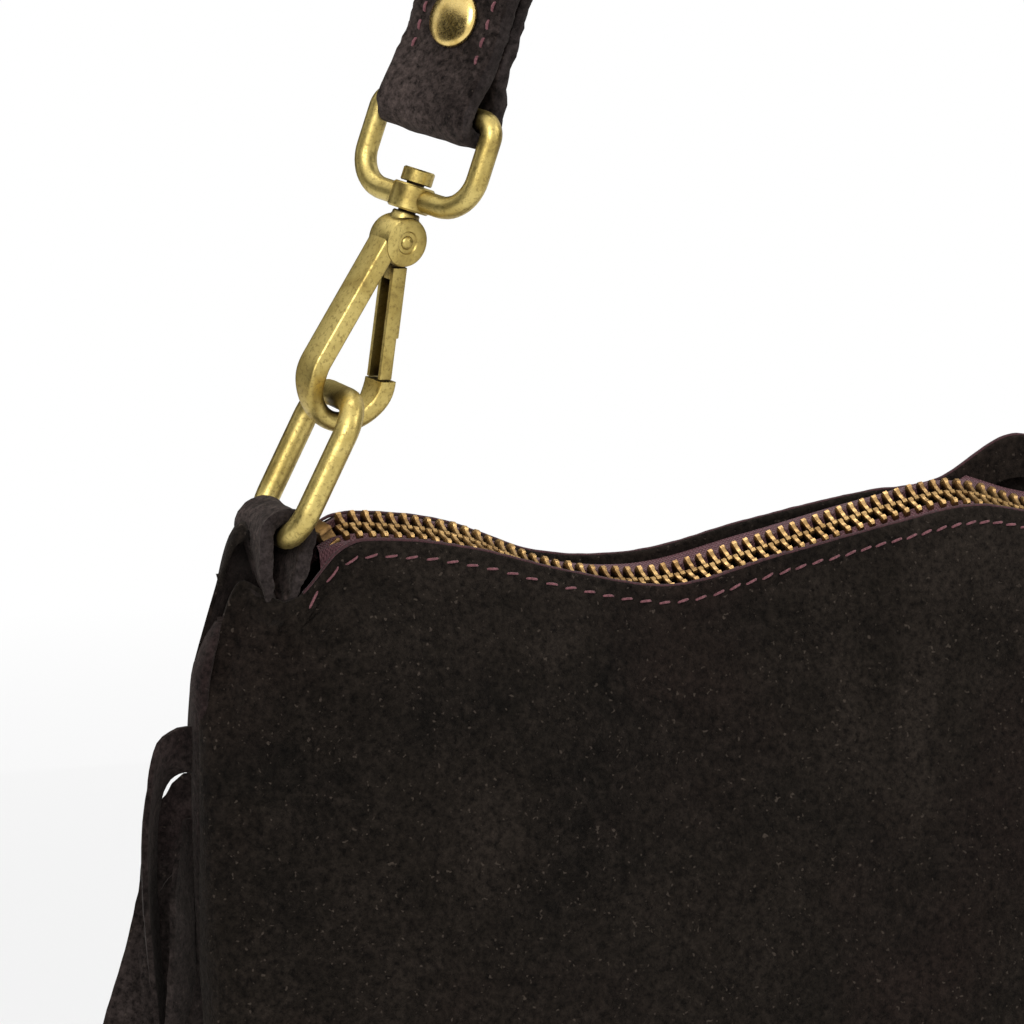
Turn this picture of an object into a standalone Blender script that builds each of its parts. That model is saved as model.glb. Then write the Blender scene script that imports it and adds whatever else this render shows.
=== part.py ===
"""Fringed suede handbag, hanging from its shoulder strap.

Metres, +Z up, +X along the zip, -Y to the front. The origin is the underside of the strap at its apex,
where a hand or a peg carries the bag. The left and right sets of hardware are the same parts, the right
one turned half round about Z.
"""

import math

import bmesh
import bpy
from mathutils import Matrix, Vector

MM = 0.001
GAP = 0.3 * MM  # clearance between touching pieces

# Strap and the line along which it pulls
STRAP_WIDTH = 20.5 * MM
STRAP_THICKNESS = 2.6 * MM
STRAP_FLAP_LENGTH = 42 * MM
STRAP_TURN = math.radians(28)  # how far the strap's ends are turned from across the bag
PULL_ANGLE = math.radians(18.8)  # of each strap leg from upright
APEX_RADIUS = 45 * MM
CONTACT_HALF_SPAN = 118.5 * MM  # from the middle to the bottom of each hook

# Swivel hook: q runs inwards across it, p runs up the line of pull from the bottom of its bend
HOOK_WIRE = 3.2 * MM
HOOK_DEPTH = 5.0 * MM
HOOK_BEND_DEPTH = 4.2 * MM
HOOK_EDGE = 0.5 * MM
HOOK_BEND_EDGE = 1.35 * MM
HOOK_BEND_RADIUS = 7.1 * MM
HOOK_BEND_Q = -1.6 * MM
HOOK_SPINE_Q = -2.3 * MM
HOOK_TURN = math.radians(18)
HEAD_P = 31.4 * MM
HEAD_RADIUS = 4.1 * MM
HEAD_SLOT = 2.7 * MM
KNUCKLE_RADIUS = 2.5 * MM
KNUCKLE_WIDTH = HEAD_SLOT - 2 * GAP
PIN_RADIUS = 1.0 * MM
PIN_HEAD_RADIUS = 1.5 * MM
PIN_HEAD_HEIGHT = 0.45 * MM
GATE_WIDTH = 3.0 * MM
GATE_DEPTH = 4.0 * MM
GATE_WALL = 0.8 * MM
GATE_CHANNEL = 1.9 * MM
GATE_EDGE = 0.55 * MM
GATE_NOSE_GAP = 0.6 * MM
STUD_RADIUS = 1.5 * MM
STUD_HEAD_RADIUS = 2.65 * MM
STUD_HEAD_HEIGHT = 2.4 * MM
COLLAR_RADIUS = 2.3 * MM

# Swivel loop
LOOP_WIRE = 3.7 * MM
LOOP_INNER_WIDTH = 21.5 * MM
LOOP_INNER_HEIGHT = 11.6 * MM
LOOP_CORNER = 6.0 * MM
LOOP_STRAP_CORNER = 2.6 * MM
LOOP_BAR_P = 38.6 * MM
BOSS_RADIUS = 3.5 * MM
BOSS_HEIGHT = 4.3 * MM

# Rivet
RIVET_P = 68.4 * MM
RIVET_RADIUS = 4.85 * MM
RIVET_DOME = 1.7 * MM
RIVET_RIM = 0.5 * MM
RIVET_POST_RADIUS = 1.5 * MM
RIVET_BASE_RADIUS = 4.0 * MM
RIVET_BASE_HEIGHT = 1.4 * MM

# Oval ring and the tab that holds it
RING_WIRE = 4.4 * MM
RING_INNER_WIDTH = 16.5 * MM
RING_INNER_LENGTH = 20.0 * MM
RING_LEAN = math.radians(27)
RING_CORNER = 5.5 * MM
RING_SEAT = 0.4 * MM
TAB_WIDTH = 12.4 * MM
TAB_PINCH_WIDTH = 5.6 * MM
TAB_THICKNESS = 1.8 * MM
TAB_DEPTH = 15 * MM  # from the ring's lower bar down to the tab's sewn end
TAB_INSET = -1.0 * MM
TAB_SHOULDER = 2.5 * MM  # height over the bar at which the tab reaches its full width
TAB_CLEAR = 1.0 * MM

# Bag body
CONTACT_HEIGHT = 227.6 * MM  # from the base up to the bottom of each hook
SUEDE = 1.8 * MM
BASE_THICKNESS = 2.4 * MM
BASE_HALF_WIDTH = 147 * MM
BODY_HALF_WIDTH = 144 * MM
CORNER_HALF_WIDTH = 139 * MM
BASE_HALF_DEPTH = 42 * MM
TOP_HALF_DEPTH = 8.6 * MM
BODY_SQUARENESS = 4.2
PANEL_COLUMNS = 22  # between the rounded sides
PANEL_SIDE_STEPS = 5
PANEL_FLAT_SHARE = 0.8
PANEL_ROWS = 6
ROWS_UPWARDS = 0.35  # how much closer together the panels' rows lie at the top
CORNER_ROUNDING = 0.1  # share of the height over which the top corners draw in

# Zip
TAPE_THICKNESS = 0.7 * MM
TAPE_EDGE_Y = 2.6 * MM
TAPE_FLAT_Y = 4.4 * MM
TAPE_TUCK = 1.0 * MM
TAPE_SEAM = 3.6 * MM
TAPE_RISE_MOST = 3.2 * MM
TAPE_STATION = 6 * MM
TAPE_MARGIN = 0.6 * MM
TOOTH_PITCH = 2.2 * MM
TOOTH_REACH = 0.5 * MM  # from the zip's middle to each row of teeth
TOOTH_ROOT_Y = 3.1 * MM
TOOTH_HEIGHT = 2.3 * MM
TOOTH_FOOT = 0.2 * MM  # how far a tooth reaches below the tape's middle
ZIP_START_X = -121 * MM
ZIP_END_X = 110 * MM
ZIP_CLEAR = 2 * GAP
STOP_LENGTH = 2.4 * MM
STOP_PLATE = 0.7 * MM
STOP_ROOT_Y = 3.4 * MM
SLIDER_X = 103.4 * MM
SLIDER_LENGTH = 8.5 * MM
SLIDER_HALF_WIDTH = 4.1 * MM
SLIDER_NARROW = 0.75  # width of its closed end, as a share of the open end
SLIDER_PLATE = 0.9 * MM
SLIDER_WEB = 0.4 * MM
BRIDGE_WIRE = 1.1 * MM
BRIDGE_HEIGHT = 2.9 * MM
PULL_LENGTH = 24 * MM
PULL_WIDTH = 6 * MM
PULL_THICKNESS = 0.9 * MM
PULL_EYE = 3.4 * MM

# Wave of the top edge: x, zip height, front edge above the zip, back edge above the zip
TOP_WAVE = [
    (-150, 198.0, -0.5, -0.5),
    (-137, 202.0, -1.0, -0.5),
    (-129, 203.6, -3.8, -2.4),
    (-120, 210.2, -2.6, -0.8),
    (-112, 211.6, -3.3, -0.4),
    (-98, 208.6, -2.6, 0.6),
    (-81, 200.3, 0.8, 1.2),
    (-63, 197.5, 0.2, 3.4),
    (-44, 201.5, 0.0, 3.2),
    (-22, 207.0, -1.1, 1.4),
    (-8, 209.0, -1.1, 0.8),
    (6, 205.0, 0.3, 11.8),
    (20, 202.4, 0.3, 10.0),
    (32, 202.92, 0.2, 5.0),
    (50, 203.7, 0.1, 2.0),
    (108, 206.21, -0.6, 0.8),
    (117, 206.6, -1.0, 0.4),
    (129, 203.6, -2.4, -2.4),
    (137, 202.0, -1.0, -0.5),
    (150, 198.0, -0.5, -0.5),
]

# Fringe
FRINGE_THICKNESS = 1.4 * MM
FRINGE_TOP = 178 * MM
FRINGE_BOTTOM = 12 * MM
FRINGE_STRIPS = 22
FRINGE_SLIT = 0.6 * MM
FRINGE_BAND_OUT = 2.4 * MM
FRINGE_LANES = (0.0, -7.4 * MM, 7.4 * MM)
FRINGE_STEP_OUT = 2.1 * MM
FRINGE_LEAST_OUT = 4.5 * MM
FRINGE_DROP = 15 * MM
FRINGE_RISE = 1 * MM  # of the strips' arches over their roots
FRINGE_TIP = 5 * MM
FRINGE_TIP_STEP = 3 * MM
FRINGE_TIP_COUNT = 5  # different lengths of strip

# Places that follow from the sizes above
AXIS_RADIUS = APEX_RADIUS - GAP / 2
LAYER_OFFSET = (STRAP_THICKNESS + GAP) / 2
LEG_LENGTH = (CONTACT_HALF_SPAN - AXIS_RADIUS * math.cos(PULL_ANGLE)) / math.sin(PULL_ANGLE)
APEX_CENTRE_Z = -GAP / 2 - AXIS_RADIUS
CONTACT_Z = (
    APEX_CENTRE_Z
    - (CONTACT_HALF_SPAN * math.cos(PULL_ANGLE) - AXIS_RADIUS) / math.sin(PULL_ANGLE)
)
BASE_Z = CONTACT_Z - CONTACT_HEIGHT
LOOP_WIDTH = LOOP_INNER_WIDTH + LOOP_WIRE
LOOP_HEIGHT = LOOP_INNER_HEIGHT + LOOP_WIRE
STRAP_BAR_P = LOOP_BAR_P + LOOP_HEIGHT
RING_WIDTH = RING_INNER_WIDTH + RING_WIRE
RING_LENGTH = RING_INNER_LENGTH + RING_WIRE
RING_TOP_P = HOOK_WIRE / 2 + RING_SEAT + RING_WIRE / 2

SUEDE_COLOUR = (0.016, 0.011, 0.0085, 1)
TAPE_COLOUR = (0.10, 0.035, 0.045, 1)
BRASS_COLOUR = (0.42, 0.28, 0.085, 1)
BRIGHT_BRASS_COLOUR = (0.80, 0.56, 0.20, 1)


def clear_scene():
    for obj in list(bpy.data.objects):
        bpy.data.objects.remove(obj, do_unlink=True)


def make_material(name, colour, roughness, metallic):
    material = bpy.data.materials.new(name)
    material.use_nodes = True
    shader = material.node_tree.nodes["Principled BSDF"]
    shader.inputs["Base Color"].default_value = colour
    shader.inputs["Roughness"].default_value = roughness
    shader.inputs["Metallic"].default_value = metallic
    return material


def add_object(name, data, finish=None, parent=None):
    """An object that holds this mesh or curve, with a material of its own."""
    obj = bpy.data.objects.new(name, data)
    bpy.context.scene.collection.objects.link(obj)
    if finish:
        data.materials.clear()
        data.materials.append(make_material(f"{name}_{finish[0]}", *finish[1:]))
    obj.parent = parent
    return obj


def add_empty(name, location, rotation, parent=None):
    empty = bpy.data.objects.new(name, None)
    bpy.context.scene.collection.objects.link(empty)
    empty.empty_display_size = 5 * MM
    empty.parent = parent
    empty.location = location
    empty.rotation_euler = rotation
    return empty


def mesh_from(bm, name, smooth_angle=math.radians(35)):
    bmesh.ops.recalc_face_normals(bm, faces=bm.faces)
    mesh = bpy.data.meshes.new(name)
    bm.to_mesh(mesh)
    bm.free()
    mesh.shade_smooth()
    mesh.set_sharp_from_angle(angle=smooth_angle)
    return mesh


def solid_mesh(obj):
    """The object's mesh with its modifiers or its curve worked out, and the object removed."""
    bpy.context.view_layer.update()
    graph = bpy.context.evaluated_depsgraph_get()
    mesh = bpy.data.meshes.new_from_object(obj.evaluated_get(graph), depsgraph=graph)
    bm = bmesh.new()
    bm.from_mesh(mesh)
    bmesh.ops.remove_doubles(bm, verts=bm.verts, dist=1e-7)
    bpy.data.objects.remove(obj, do_unlink=True)
    return mesh_from(bm, mesh.name)


def combine(name, mesh, steps):
    """One mesh from a first one and (operation, mesh) steps, by Booleans."""
    carrier = add_object(name, mesh)
    tools = []
    for operation, tool_mesh in steps:
        tool = add_object(f"{name}_tool", tool_mesh)
        tool.hide_render = True
        tool.display_type = "WIRE"
        modifier = carrier.modifiers.new(operation.lower(), "BOOLEAN")
        modifier.operation = operation
        modifier.object = tool
        modifier.solver = "EXACT"
        tools.append(tool)
    result = solid_mesh(carrier)
    for tool in tools:
        bpy.data.objects.remove(tool, do_unlink=True)
    return result


def box_mesh(low, high, matrix=Matrix()):
    bm = bmesh.new()
    low, high = Vector(low), Vector(high)
    size = Matrix.Diagonal((*(high - low), 1))
    bmesh.ops.create_cube(bm, size=1, matrix=matrix @ Matrix.Translation((low + high) / 2) @ size)
    return mesh_from(bm, "box")


def rod_mesh(start, end, radius, sides=12):
    """A rod between two points."""
    start, end = Vector(start), Vector(end)
    along = end - start
    turn = Vector((0, 0, 1)).rotation_difference(along).to_matrix().to_4x4()
    bm = bmesh.new()
    bmesh.ops.create_cone(
        bm,
        cap_ends=True,
        segments=sides,
        radius1=radius,
        radius2=radius,
        depth=along.length,
        matrix=Matrix.Translation((start + end) / 2) @ turn,
    )
    return mesh_from(bm, "rod")


def turned_mesh(profile, matrix=Matrix(), steps=16):
    """A body turned about Z from (radius, height) points that start and end on the axis."""
    bm = bmesh.new()
    verts = [bm.verts.new((r, 0, z)) for r, z in profile]
    edges = [bm.edges.new(pair) for pair in zip(verts, verts[1:])]
    bmesh.ops.spin(
        bm, geom=verts + edges, axis=(0, 0, 1), cent=(0, 0, 0), angle=2 * math.pi, steps=steps,
        use_merge=True, use_duplicate=False,
    )
    bmesh.ops.remove_doubles(bm, verts=bm.verts, dist=1e-7)
    bmesh.ops.transform(bm, matrix=matrix, verts=bm.verts)
    return mesh_from(bm, "turned")


def swept_mesh(sections, closed=False):
    """A body through sections of equally many points each."""
    bm = bmesh.new()
    rings = [[bm.verts.new(point) for point in section] for section in sections]
    pairs = list(zip(rings, rings[1:]))
    if closed:
        pairs.append((rings[-1], rings[0]))
    for first, second in pairs:
        for i in range(len(first)):
            j = (i + 1) % len(first)
            bm.faces.new((first[i], first[j], second[j], second[i]))
    if not closed:
        bm.faces.new(rings[0])
        bm.faces.new(reversed(rings[-1]))
    return mesh_from(bm, "swept")


def section_at(origin, across, through, outline):
    """Points of a flat outline, laid across a path at one place."""
    return [origin + across * a + through * b for a, b in outline]


def rectangle(width, thickness, centre=0.0):
    a, b = width / 2, thickness / 2
    return [(-a, centre - b), (a, centre - b), (a, centre + b), (-a, centre + b)]


def bevelled(width, depth, edge):
    a, b = width / 2, depth / 2
    return [
        (-a + edge, -b), (a - edge, -b), (a, -b + edge), (a, b - edge),
        (a - edge, b), (-a + edge, b), (-a, b - edge), (-a, -b + edge),
    ]


def closed_wire(name, points, radius):
    """A round wire bent into a closed shape."""
    curve = bpy.data.curves.new(name, "CURVE")
    curve.dimensions = "3D"
    curve.bevel_depth = radius
    curve.bevel_resolution = 2
    spline = curve.splines.new("POLY")
    spline.points.add(len(points) - 1)
    for point, place in zip(spline.points, points):
        point.co = (*place, 1)
    spline.use_cyclic_u = True
    return solid_mesh(add_object(name, curve))


def rounded_rectangle(width, height, upper_radius, lower_radius, steps=4):
    """Points of a rounded rectangle in the XZ plane, its lower side's middle at the origin."""
    points = []
    corners = ((1, 1, 0), (-1, 1, 90), (-1, -1, 180), (1, -1, 270))
    for side_x, side_z, start in corners:
        radius = upper_radius if side_z > 0 else lower_radius
        centre_x = side_x * (width / 2 - radius)
        centre_z = height / 2 + side_z * (height / 2 - radius)
        for step in range(steps + 1):
            angle = math.radians(start + 90 * step / steps)
            points.append((centre_x + radius * math.cos(angle), 0, centre_z + radius * math.sin(angle)))
    return points


def ease(t):
    t = min(max(t, 0.0), 1.0)
    return t * t * (3 - 2 * t)


def wave_at(x, column):
    """A column of TOP_WAVE at x, on a smooth curve through its knots."""
    knots = [(k[0] * MM, k[column] * MM) for k in TOP_WAVE]
    x = min(max(x, knots[0][0]), knots[-1][0])
    i = max(n for n in range(len(knots) - 1) if x >= knots[n][0])

    def slope(n):
        before, after = knots[max(n - 1, 0)], knots[min(n + 1, len(knots) - 1)]
        return (after[1] - before[1]) / (after[0] - before[0])

    (x0, h0), (x1, h1) = knots[i], knots[i + 1]
    span = x1 - x0
    t = (x - x0) / span
    return (
        h0 * (1 + 2 * t) * (1 - t) ** 2
        + slope(i) * span * t * (1 - t) ** 2
        + h1 * t * t * (3 - 2 * t)
        + slope(i + 1) * span * t * t * (t - 1)
    )


def zip_height(x):
    return wave_at(x, 1)


def edge_height(x, side):
    """Height of a panel's top edge: side is -1 at the front and 1 at the back."""
    return zip_height(x) + wave_at(x, 2 if side < 0 else 3)


def body_half_width(v):
    """Half the bag's width at share v of its height."""
    lower = BASE_HALF_WIDTH + (BODY_HALF_WIDTH - BASE_HALF_WIDTH) * ease(v / (1 - CORNER_ROUNDING))
    return lower + (CORNER_HALF_WIDTH - BODY_HALF_WIDTH) * max(0, 1 - (1 - v) / CORNER_ROUNDING) ** 2


def body_half_depth(v):
    """Half the bag's depth at share v of its height: full below, drawn in to the zip."""
    return TOP_HALF_DEPTH + (BASE_HALF_DEPTH - TOP_HALF_DEPTH) * (1 - v) ** 0.85


def seam_half_gap():
    return FRINGE_THICKNESS / 2 + GAP


def side_profile(share):
    """Depth share of the body's outline where it is this share of its half width from the middle."""
    return (1 - min(abs(share), 1) ** BODY_SQUARENESS) ** (1 / BODY_SQUARENESS)


def outline_shares():
    """Width shares from the left seam to the right one, close together where the sides turn."""
    edge = side_profile(PANEL_FLAT_SHARE)
    turn = [side_profile(edge * step / PANEL_SIDE_STEPS) for step in range(PANEL_SIDE_STEPS)]
    flat = [
        PANEL_FLAT_SHARE * (2 * step / PANEL_COLUMNS - 1) for step in range(PANEL_COLUMNS + 1)
    ]
    return [-share for share in turn] + flat + turn[::-1]


def panel_point(share, v, side):
    """A point of a panel's outer face, at a share of the half width from the middle."""
    x = share * body_half_width(v)
    y = seam_half_gap() + side_profile(share) * (body_half_depth(v) - seam_half_gap())
    foot = BASE_THICKNESS + GAP
    z = foot + v * (edge_height(x, side) - foot)
    return Vector((x, side * y, BASE_Z + z))


def panel_mesh(side):
    bm = bmesh.new()
    grid = []
    for row in range(PANEL_ROWS + 1):
        v = row / PANEL_ROWS
        v = v + ROWS_UPWARDS * v * (1 - v)
        grid.append([bm.verts.new(panel_point(share, v, side)) for share in outline_shares()])
    for low, high in zip(grid, grid[1:]):
        for i in range(len(low) - 1):
            corners = [low[i], low[i + 1], high[i + 1], high[i]]
            bm.faces.new(corners if side < 0 else reversed(corners))
    mesh = bpy.data.meshes.new("panel")
    bm.to_mesh(mesh)
    bm.free()
    sheet = add_object("panel_sheet", mesh)
    wall = sheet.modifiers.new("wall", "SOLIDIFY")
    wall.thickness = SUEDE
    wall.offset = -1
    wall.use_even_offset = True
    return solid_mesh(sheet)


def base_mesh():
    bm = bmesh.new()
    shares = outline_shares()
    front = [(share * BASE_HALF_WIDTH, -side_profile(share) * BASE_HALF_DEPTH) for share in shares]
    back = [(x, -y) for x, y in front[-2:0:-1]]
    outline = [bm.verts.new((x, y, BASE_Z)) for x, y in front + back]
    face = bm.faces.new(outline)
    raised = bmesh.ops.extrude_face_region(bm, geom=[face])["geom"]
    verts = [item for item in raised if isinstance(item, bmesh.types.BMVert)]
    bmesh.ops.translate(bm, verts=verts, vec=(0, 0, BASE_THICKNESS))
    return mesh_from(bm, "base")


def inner_half_depth(x, side):
    """Half the room between the panels at their top edges."""
    profile = side_profile(x / CORNER_HALF_WIDTH)
    outer = seam_half_gap() + profile * (TOP_HALF_DEPTH - seam_half_gap())
    return outer - SUEDE - TAPE_MARGIN


def tape_mesh(side):
    start, end = ZIP_START_X - STOP_LENGTH, ZIP_END_X + 3 * STOP_LENGTH
    count = round((end - start) / TAPE_STATION)
    bm = bmesh.new()
    rows = []
    for step in range(count + 1):
        x = start + (end - start) * step / count
        height = zip_height(x)
        wall_y = inner_half_depth(x, side)
        flat_y = min(TAPE_FLAT_Y, (wall_y + TAPE_EDGE_Y) / 2)
        top = min(edge_height(x, side) - TAPE_TUCK, height + TAPE_RISE_MOST)
        places = ((TAPE_EDGE_Y, height), (flat_y, height), (wall_y, top), (wall_y, top - TAPE_SEAM))
        rows.append([bm.verts.new((x, side * y, BASE_Z + z)) for y, z in places])
    for first, second in zip(rows, rows[1:]):
        for i in range(3):
            bm.faces.new((first[i], first[i + 1], second[i + 1], second[i]))
    mesh = bpy.data.meshes.new("tape")
    bm.to_mesh(mesh)
    bm.free()
    sheet = add_object("tape_sheet", mesh)
    wall = sheet.modifiers.new("wall", "SOLIDIFY")
    wall.thickness = TAPE_THICKNESS
    wall.offset = 0
    return solid_mesh(sheet)


def zip_frame(x, drop=0.0):
    """The zip's own axes at x: along it, across it and up from it."""
    step = 0.5 * MM
    along = Vector((2 * step, 0, zip_height(x + step) - zip_height(x - step))).normalized()
    across = Vector((0, 1, 0))
    up = along.cross(across)
    frame = Matrix((along, across, up)).transposed().to_4x4()
    frame.translation = (x, 0, BASE_Z + zip_height(x) + drop)
    return frame


def tooth_places():
    """x of each tooth of one row, a pitch apart along the wave."""
    places = []
    x = ZIP_START_X + TOOTH_PITCH
    while x < ZIP_END_X:
        places.append(x)
        slope = (zip_height(x + MM) - zip_height(x)) / MM
        x += TOOTH_PITCH / math.hypot(1, slope)
    return places


def teeth_mesh(side):
    """All teeth of one side, each a block gripping the tape's edge."""
    bm = bmesh.new()
    width = TOOTH_PITCH / 2 - GAP
    offset = 0 if side < 0 else TOOTH_PITCH / 2
    for x in tooth_places():
        frame = zip_frame(x + offset)
        centre_y = side * (TOOTH_REACH + TOOTH_ROOT_Y) / 2
        centre = Matrix.Translation((0, centre_y, (TOOTH_HEIGHT / 2 - TOOTH_FOOT) / 2))
        size = Matrix.Diagonal((width, TOOTH_ROOT_Y - TOOTH_REACH, TOOTH_HEIGHT / 2 + TOOTH_FOOT, 1))
        bmesh.ops.create_cube(bm, size=1, matrix=frame @ centre @ size)
    return mesh_from(bm, "teeth")


def build_bag_body():
    suede = ("suede", SUEDE_COLOUR, 0.95, 0)
    tape = ("woven_tape", TAPE_COLOUR, 0.9, 0)
    add_object("front_panel", panel_mesh(-1), suede)
    add_object("back_panel", panel_mesh(1), suede)
    add_object("base_panel", base_mesh(), suede)
    for name, side in (("zip_tape_front", -1), ("zip_tape_back", 1)):
        add_object(name, combine(name, tape_mesh(side), [("UNION", teeth_mesh(side))]), tape)


def extruded_across_zip(x, length, outline):
    """A block along the zip at x, with an outline of (y, z) points from the zip's middle."""
    frame = zip_frame(x)
    sections = [
        [frame @ Vector((along, y, z)) for y, z in outline] for along in (-length / 2, length / 2)
    ]
    return swept_mesh(sections)


def build_zip_stops():
    brass = ("brass", BRASS_COLOUR, 0.4, 1)
    inner = TAPE_THICKNESS / 2 + ZIP_CLEAR
    outer = inner + STOP_PLATE
    web = TAPE_EDGE_Y - GAP
    root = STOP_ROOT_Y
    bottom = [
        (-root, inner), (-web, inner), (-web, -inner), (-root, -inner), (-root, -outer), (root, -outer),
        (root, -inner), (web, -inner), (web, inner), (root, inner), (root, outer), (-root, outer),
    ]
    x = ZIP_START_X + TOOTH_PITCH / 2 - STOP_LENGTH / 2 - GAP
    add_object("zip_bottom_stop", extruded_across_zip(x, STOP_LENGTH, bottom), brass)
    x = ZIP_END_X + TOOTH_PITCH / 2 + STOP_LENGTH / 2 + 2 * GAP
    for name, side in (("zip_top_stop_front", -1), ("zip_top_stop_back", 1)):
        clip = [
            (side * TOOTH_REACH, outer), (side * root, outer), (side * root, inner), (side * web, inner),
            (side * web, -inner), (side * root, -inner), (side * root, -outer), (side * TOOTH_REACH, -outer),
        ]
        add_object(name, extruded_across_zip(x, STOP_LENGTH, clip), brass)


def slider_plate(low, high):
    """A plate of the slider, narrower towards the closed end."""
    bm = bmesh.new()
    half = SLIDER_LENGTH / 2
    outline = [
        (-half, SLIDER_HALF_WIDTH * SLIDER_NARROW), (half * 0.3, SLIDER_HALF_WIDTH),
        (half, SLIDER_HALF_WIDTH * 0.86),
    ]
    outline += [(a, -b) for a, b in reversed(outline)]
    face = bm.faces.new([bm.verts.new((a, b, low)) for a, b in outline])
    raised = bmesh.ops.extrude_face_region(bm, geom=[face])["geom"]
    verts = [item for item in raised if isinstance(item, bmesh.types.BMVert)]
    bmesh.ops.translate(bm, verts=verts, vec=(0, 0, high - low))
    return mesh_from(bm, "plate")


def build_slider():
    """Slider with two plates, a web between the rows of teeth, guiding lips and a bridge for the pull."""
    brass = ("brass", BRASS_COLOUR, 0.4, 1)
    frame = zip_frame(SLIDER_X)
    place = add_empty("zip_slider_place", frame.translation, frame.to_euler())
    half = SLIDER_LENGTH / 2
    inner = TOOTH_HEIGHT / 2 + GAP
    outer = inner + SLIDER_PLATE
    lip_y = SLIDER_HALF_WIDTH * SLIDER_NARROW
    web_low = (half / 2, -SLIDER_WEB / 2, -outer + GAP)
    web_high = (half, SLIDER_WEB / 2, outer - GAP)
    steps = [("UNION", slider_plate(-outer, -inner)), ("UNION", box_mesh(web_low, web_high))]
    for side in (-1, 1):
        low = (half * 0.1, side * SLIDER_HALF_WIDTH * 0.98, TAPE_THICKNESS / 2 + GAP)
        high = (half * 0.6, side * (TOOTH_ROOT_Y + GAP), inner + GAP)
        corners = [[min(a, b) for a, b in zip(low, high)], [max(a, b) for a, b in zip(low, high)]]
        steps.append(("UNION", box_mesh(*corners)))
    bridge_top = outer + BRIDGE_HEIGHT
    arch = [
        (-half * 0.62, outer - GAP), (-half * 0.62, bridge_top - BRIDGE_WIRE / 2),
        (-half * 0.3, bridge_top), (half * 0.3, bridge_top),
        (half * 0.62, bridge_top - BRIDGE_WIRE / 2), (half * 0.62, outer - GAP),
    ]
    outline = rectangle(BRIDGE_WIRE, BRIDGE_WIRE)
    sections = []
    for i, (a, b) in enumerate(arch):
        before, after = arch[max(i - 1, 0)], arch[min(i + 1, len(arch) - 1)]
        along = Vector((after[0] - before[0], 0, after[1] - before[1])).normalized()
        across = Vector((0, 1, 0))
        sections.append(section_at(Vector((a, 0, b)), across, along.cross(across), outline))
    steps.append(("UNION", swept_mesh(sections)))
    body = combine("zip_slider", slider_plate(inner, outer), steps)
    add_object("zip_slider", body, brass, place)

    # The pull's eye bar lies under the bridge, and the pull lies back along the zip
    pull_z = outer + GAP + PULL_THICKNESS / 2
    pull_place = add_empty("zip_pull_place", (0, 0, pull_z), (0, 0, 0), place)
    add_object("zip_pull", pull_mesh(half), brass, pull_place)


def pull_mesh(slider_half):
    """A flat tapered pull with an eye at its near end, which takes the bridge's leg."""
    bar = BRIDGE_WIRE / 2
    arm = PULL_EYE / 2
    neck = -slider_half - bar
    tip = PULL_WIDTH / 2
    upper = [
        (bar, arm), (neck, arm), (-PULL_LENGTH + tip, tip), (-PULL_LENGTH + tip / 3, tip * 0.8),
        (-PULL_LENGTH, tip * 0.4),
    ]
    outline = upper + [(a, -b) for a, b in reversed(upper)]
    bm = bmesh.new()
    face = bm.faces.new([bm.verts.new((a, b, -PULL_THICKNESS / 2)) for a, b in outline])
    raised = bmesh.ops.extrude_face_region(bm, geom=[face])["geom"]
    verts = [item for item in raised if isinstance(item, bmesh.types.BMVert)]
    bmesh.ops.translate(bm, verts=verts, vec=(0, 0, PULL_THICKNESS))
    eye_y = BRIDGE_WIRE / 2 + GAP
    eye = box_mesh((neck, -eye_y, -PULL_THICKNESS), (-bar, eye_y, PULL_THICKNESS))
    return combine("zip_pull", mesh_from(bm, "pull"), [("DIFFERENCE", eye)])


def hook_tangent(q, side):
    """Angle round the bend at which a line from (q, HEAD_P) touches it."""
    to_head = Vector((q - HOOK_BEND_Q, HEAD_P - HOOK_BEND_RADIUS))
    spread = math.acos(HOOK_BEND_RADIUS / to_head.length)
    return math.atan2(to_head.y, to_head.x) - side * spread


def bend_point(angle):
    return Vector(
        (
            HOOK_BEND_Q + HOOK_BEND_RADIUS * math.cos(angle), 0,
            HOOK_BEND_RADIUS + HOOK_BEND_RADIUS * math.sin(angle),
        )
    )


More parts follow.
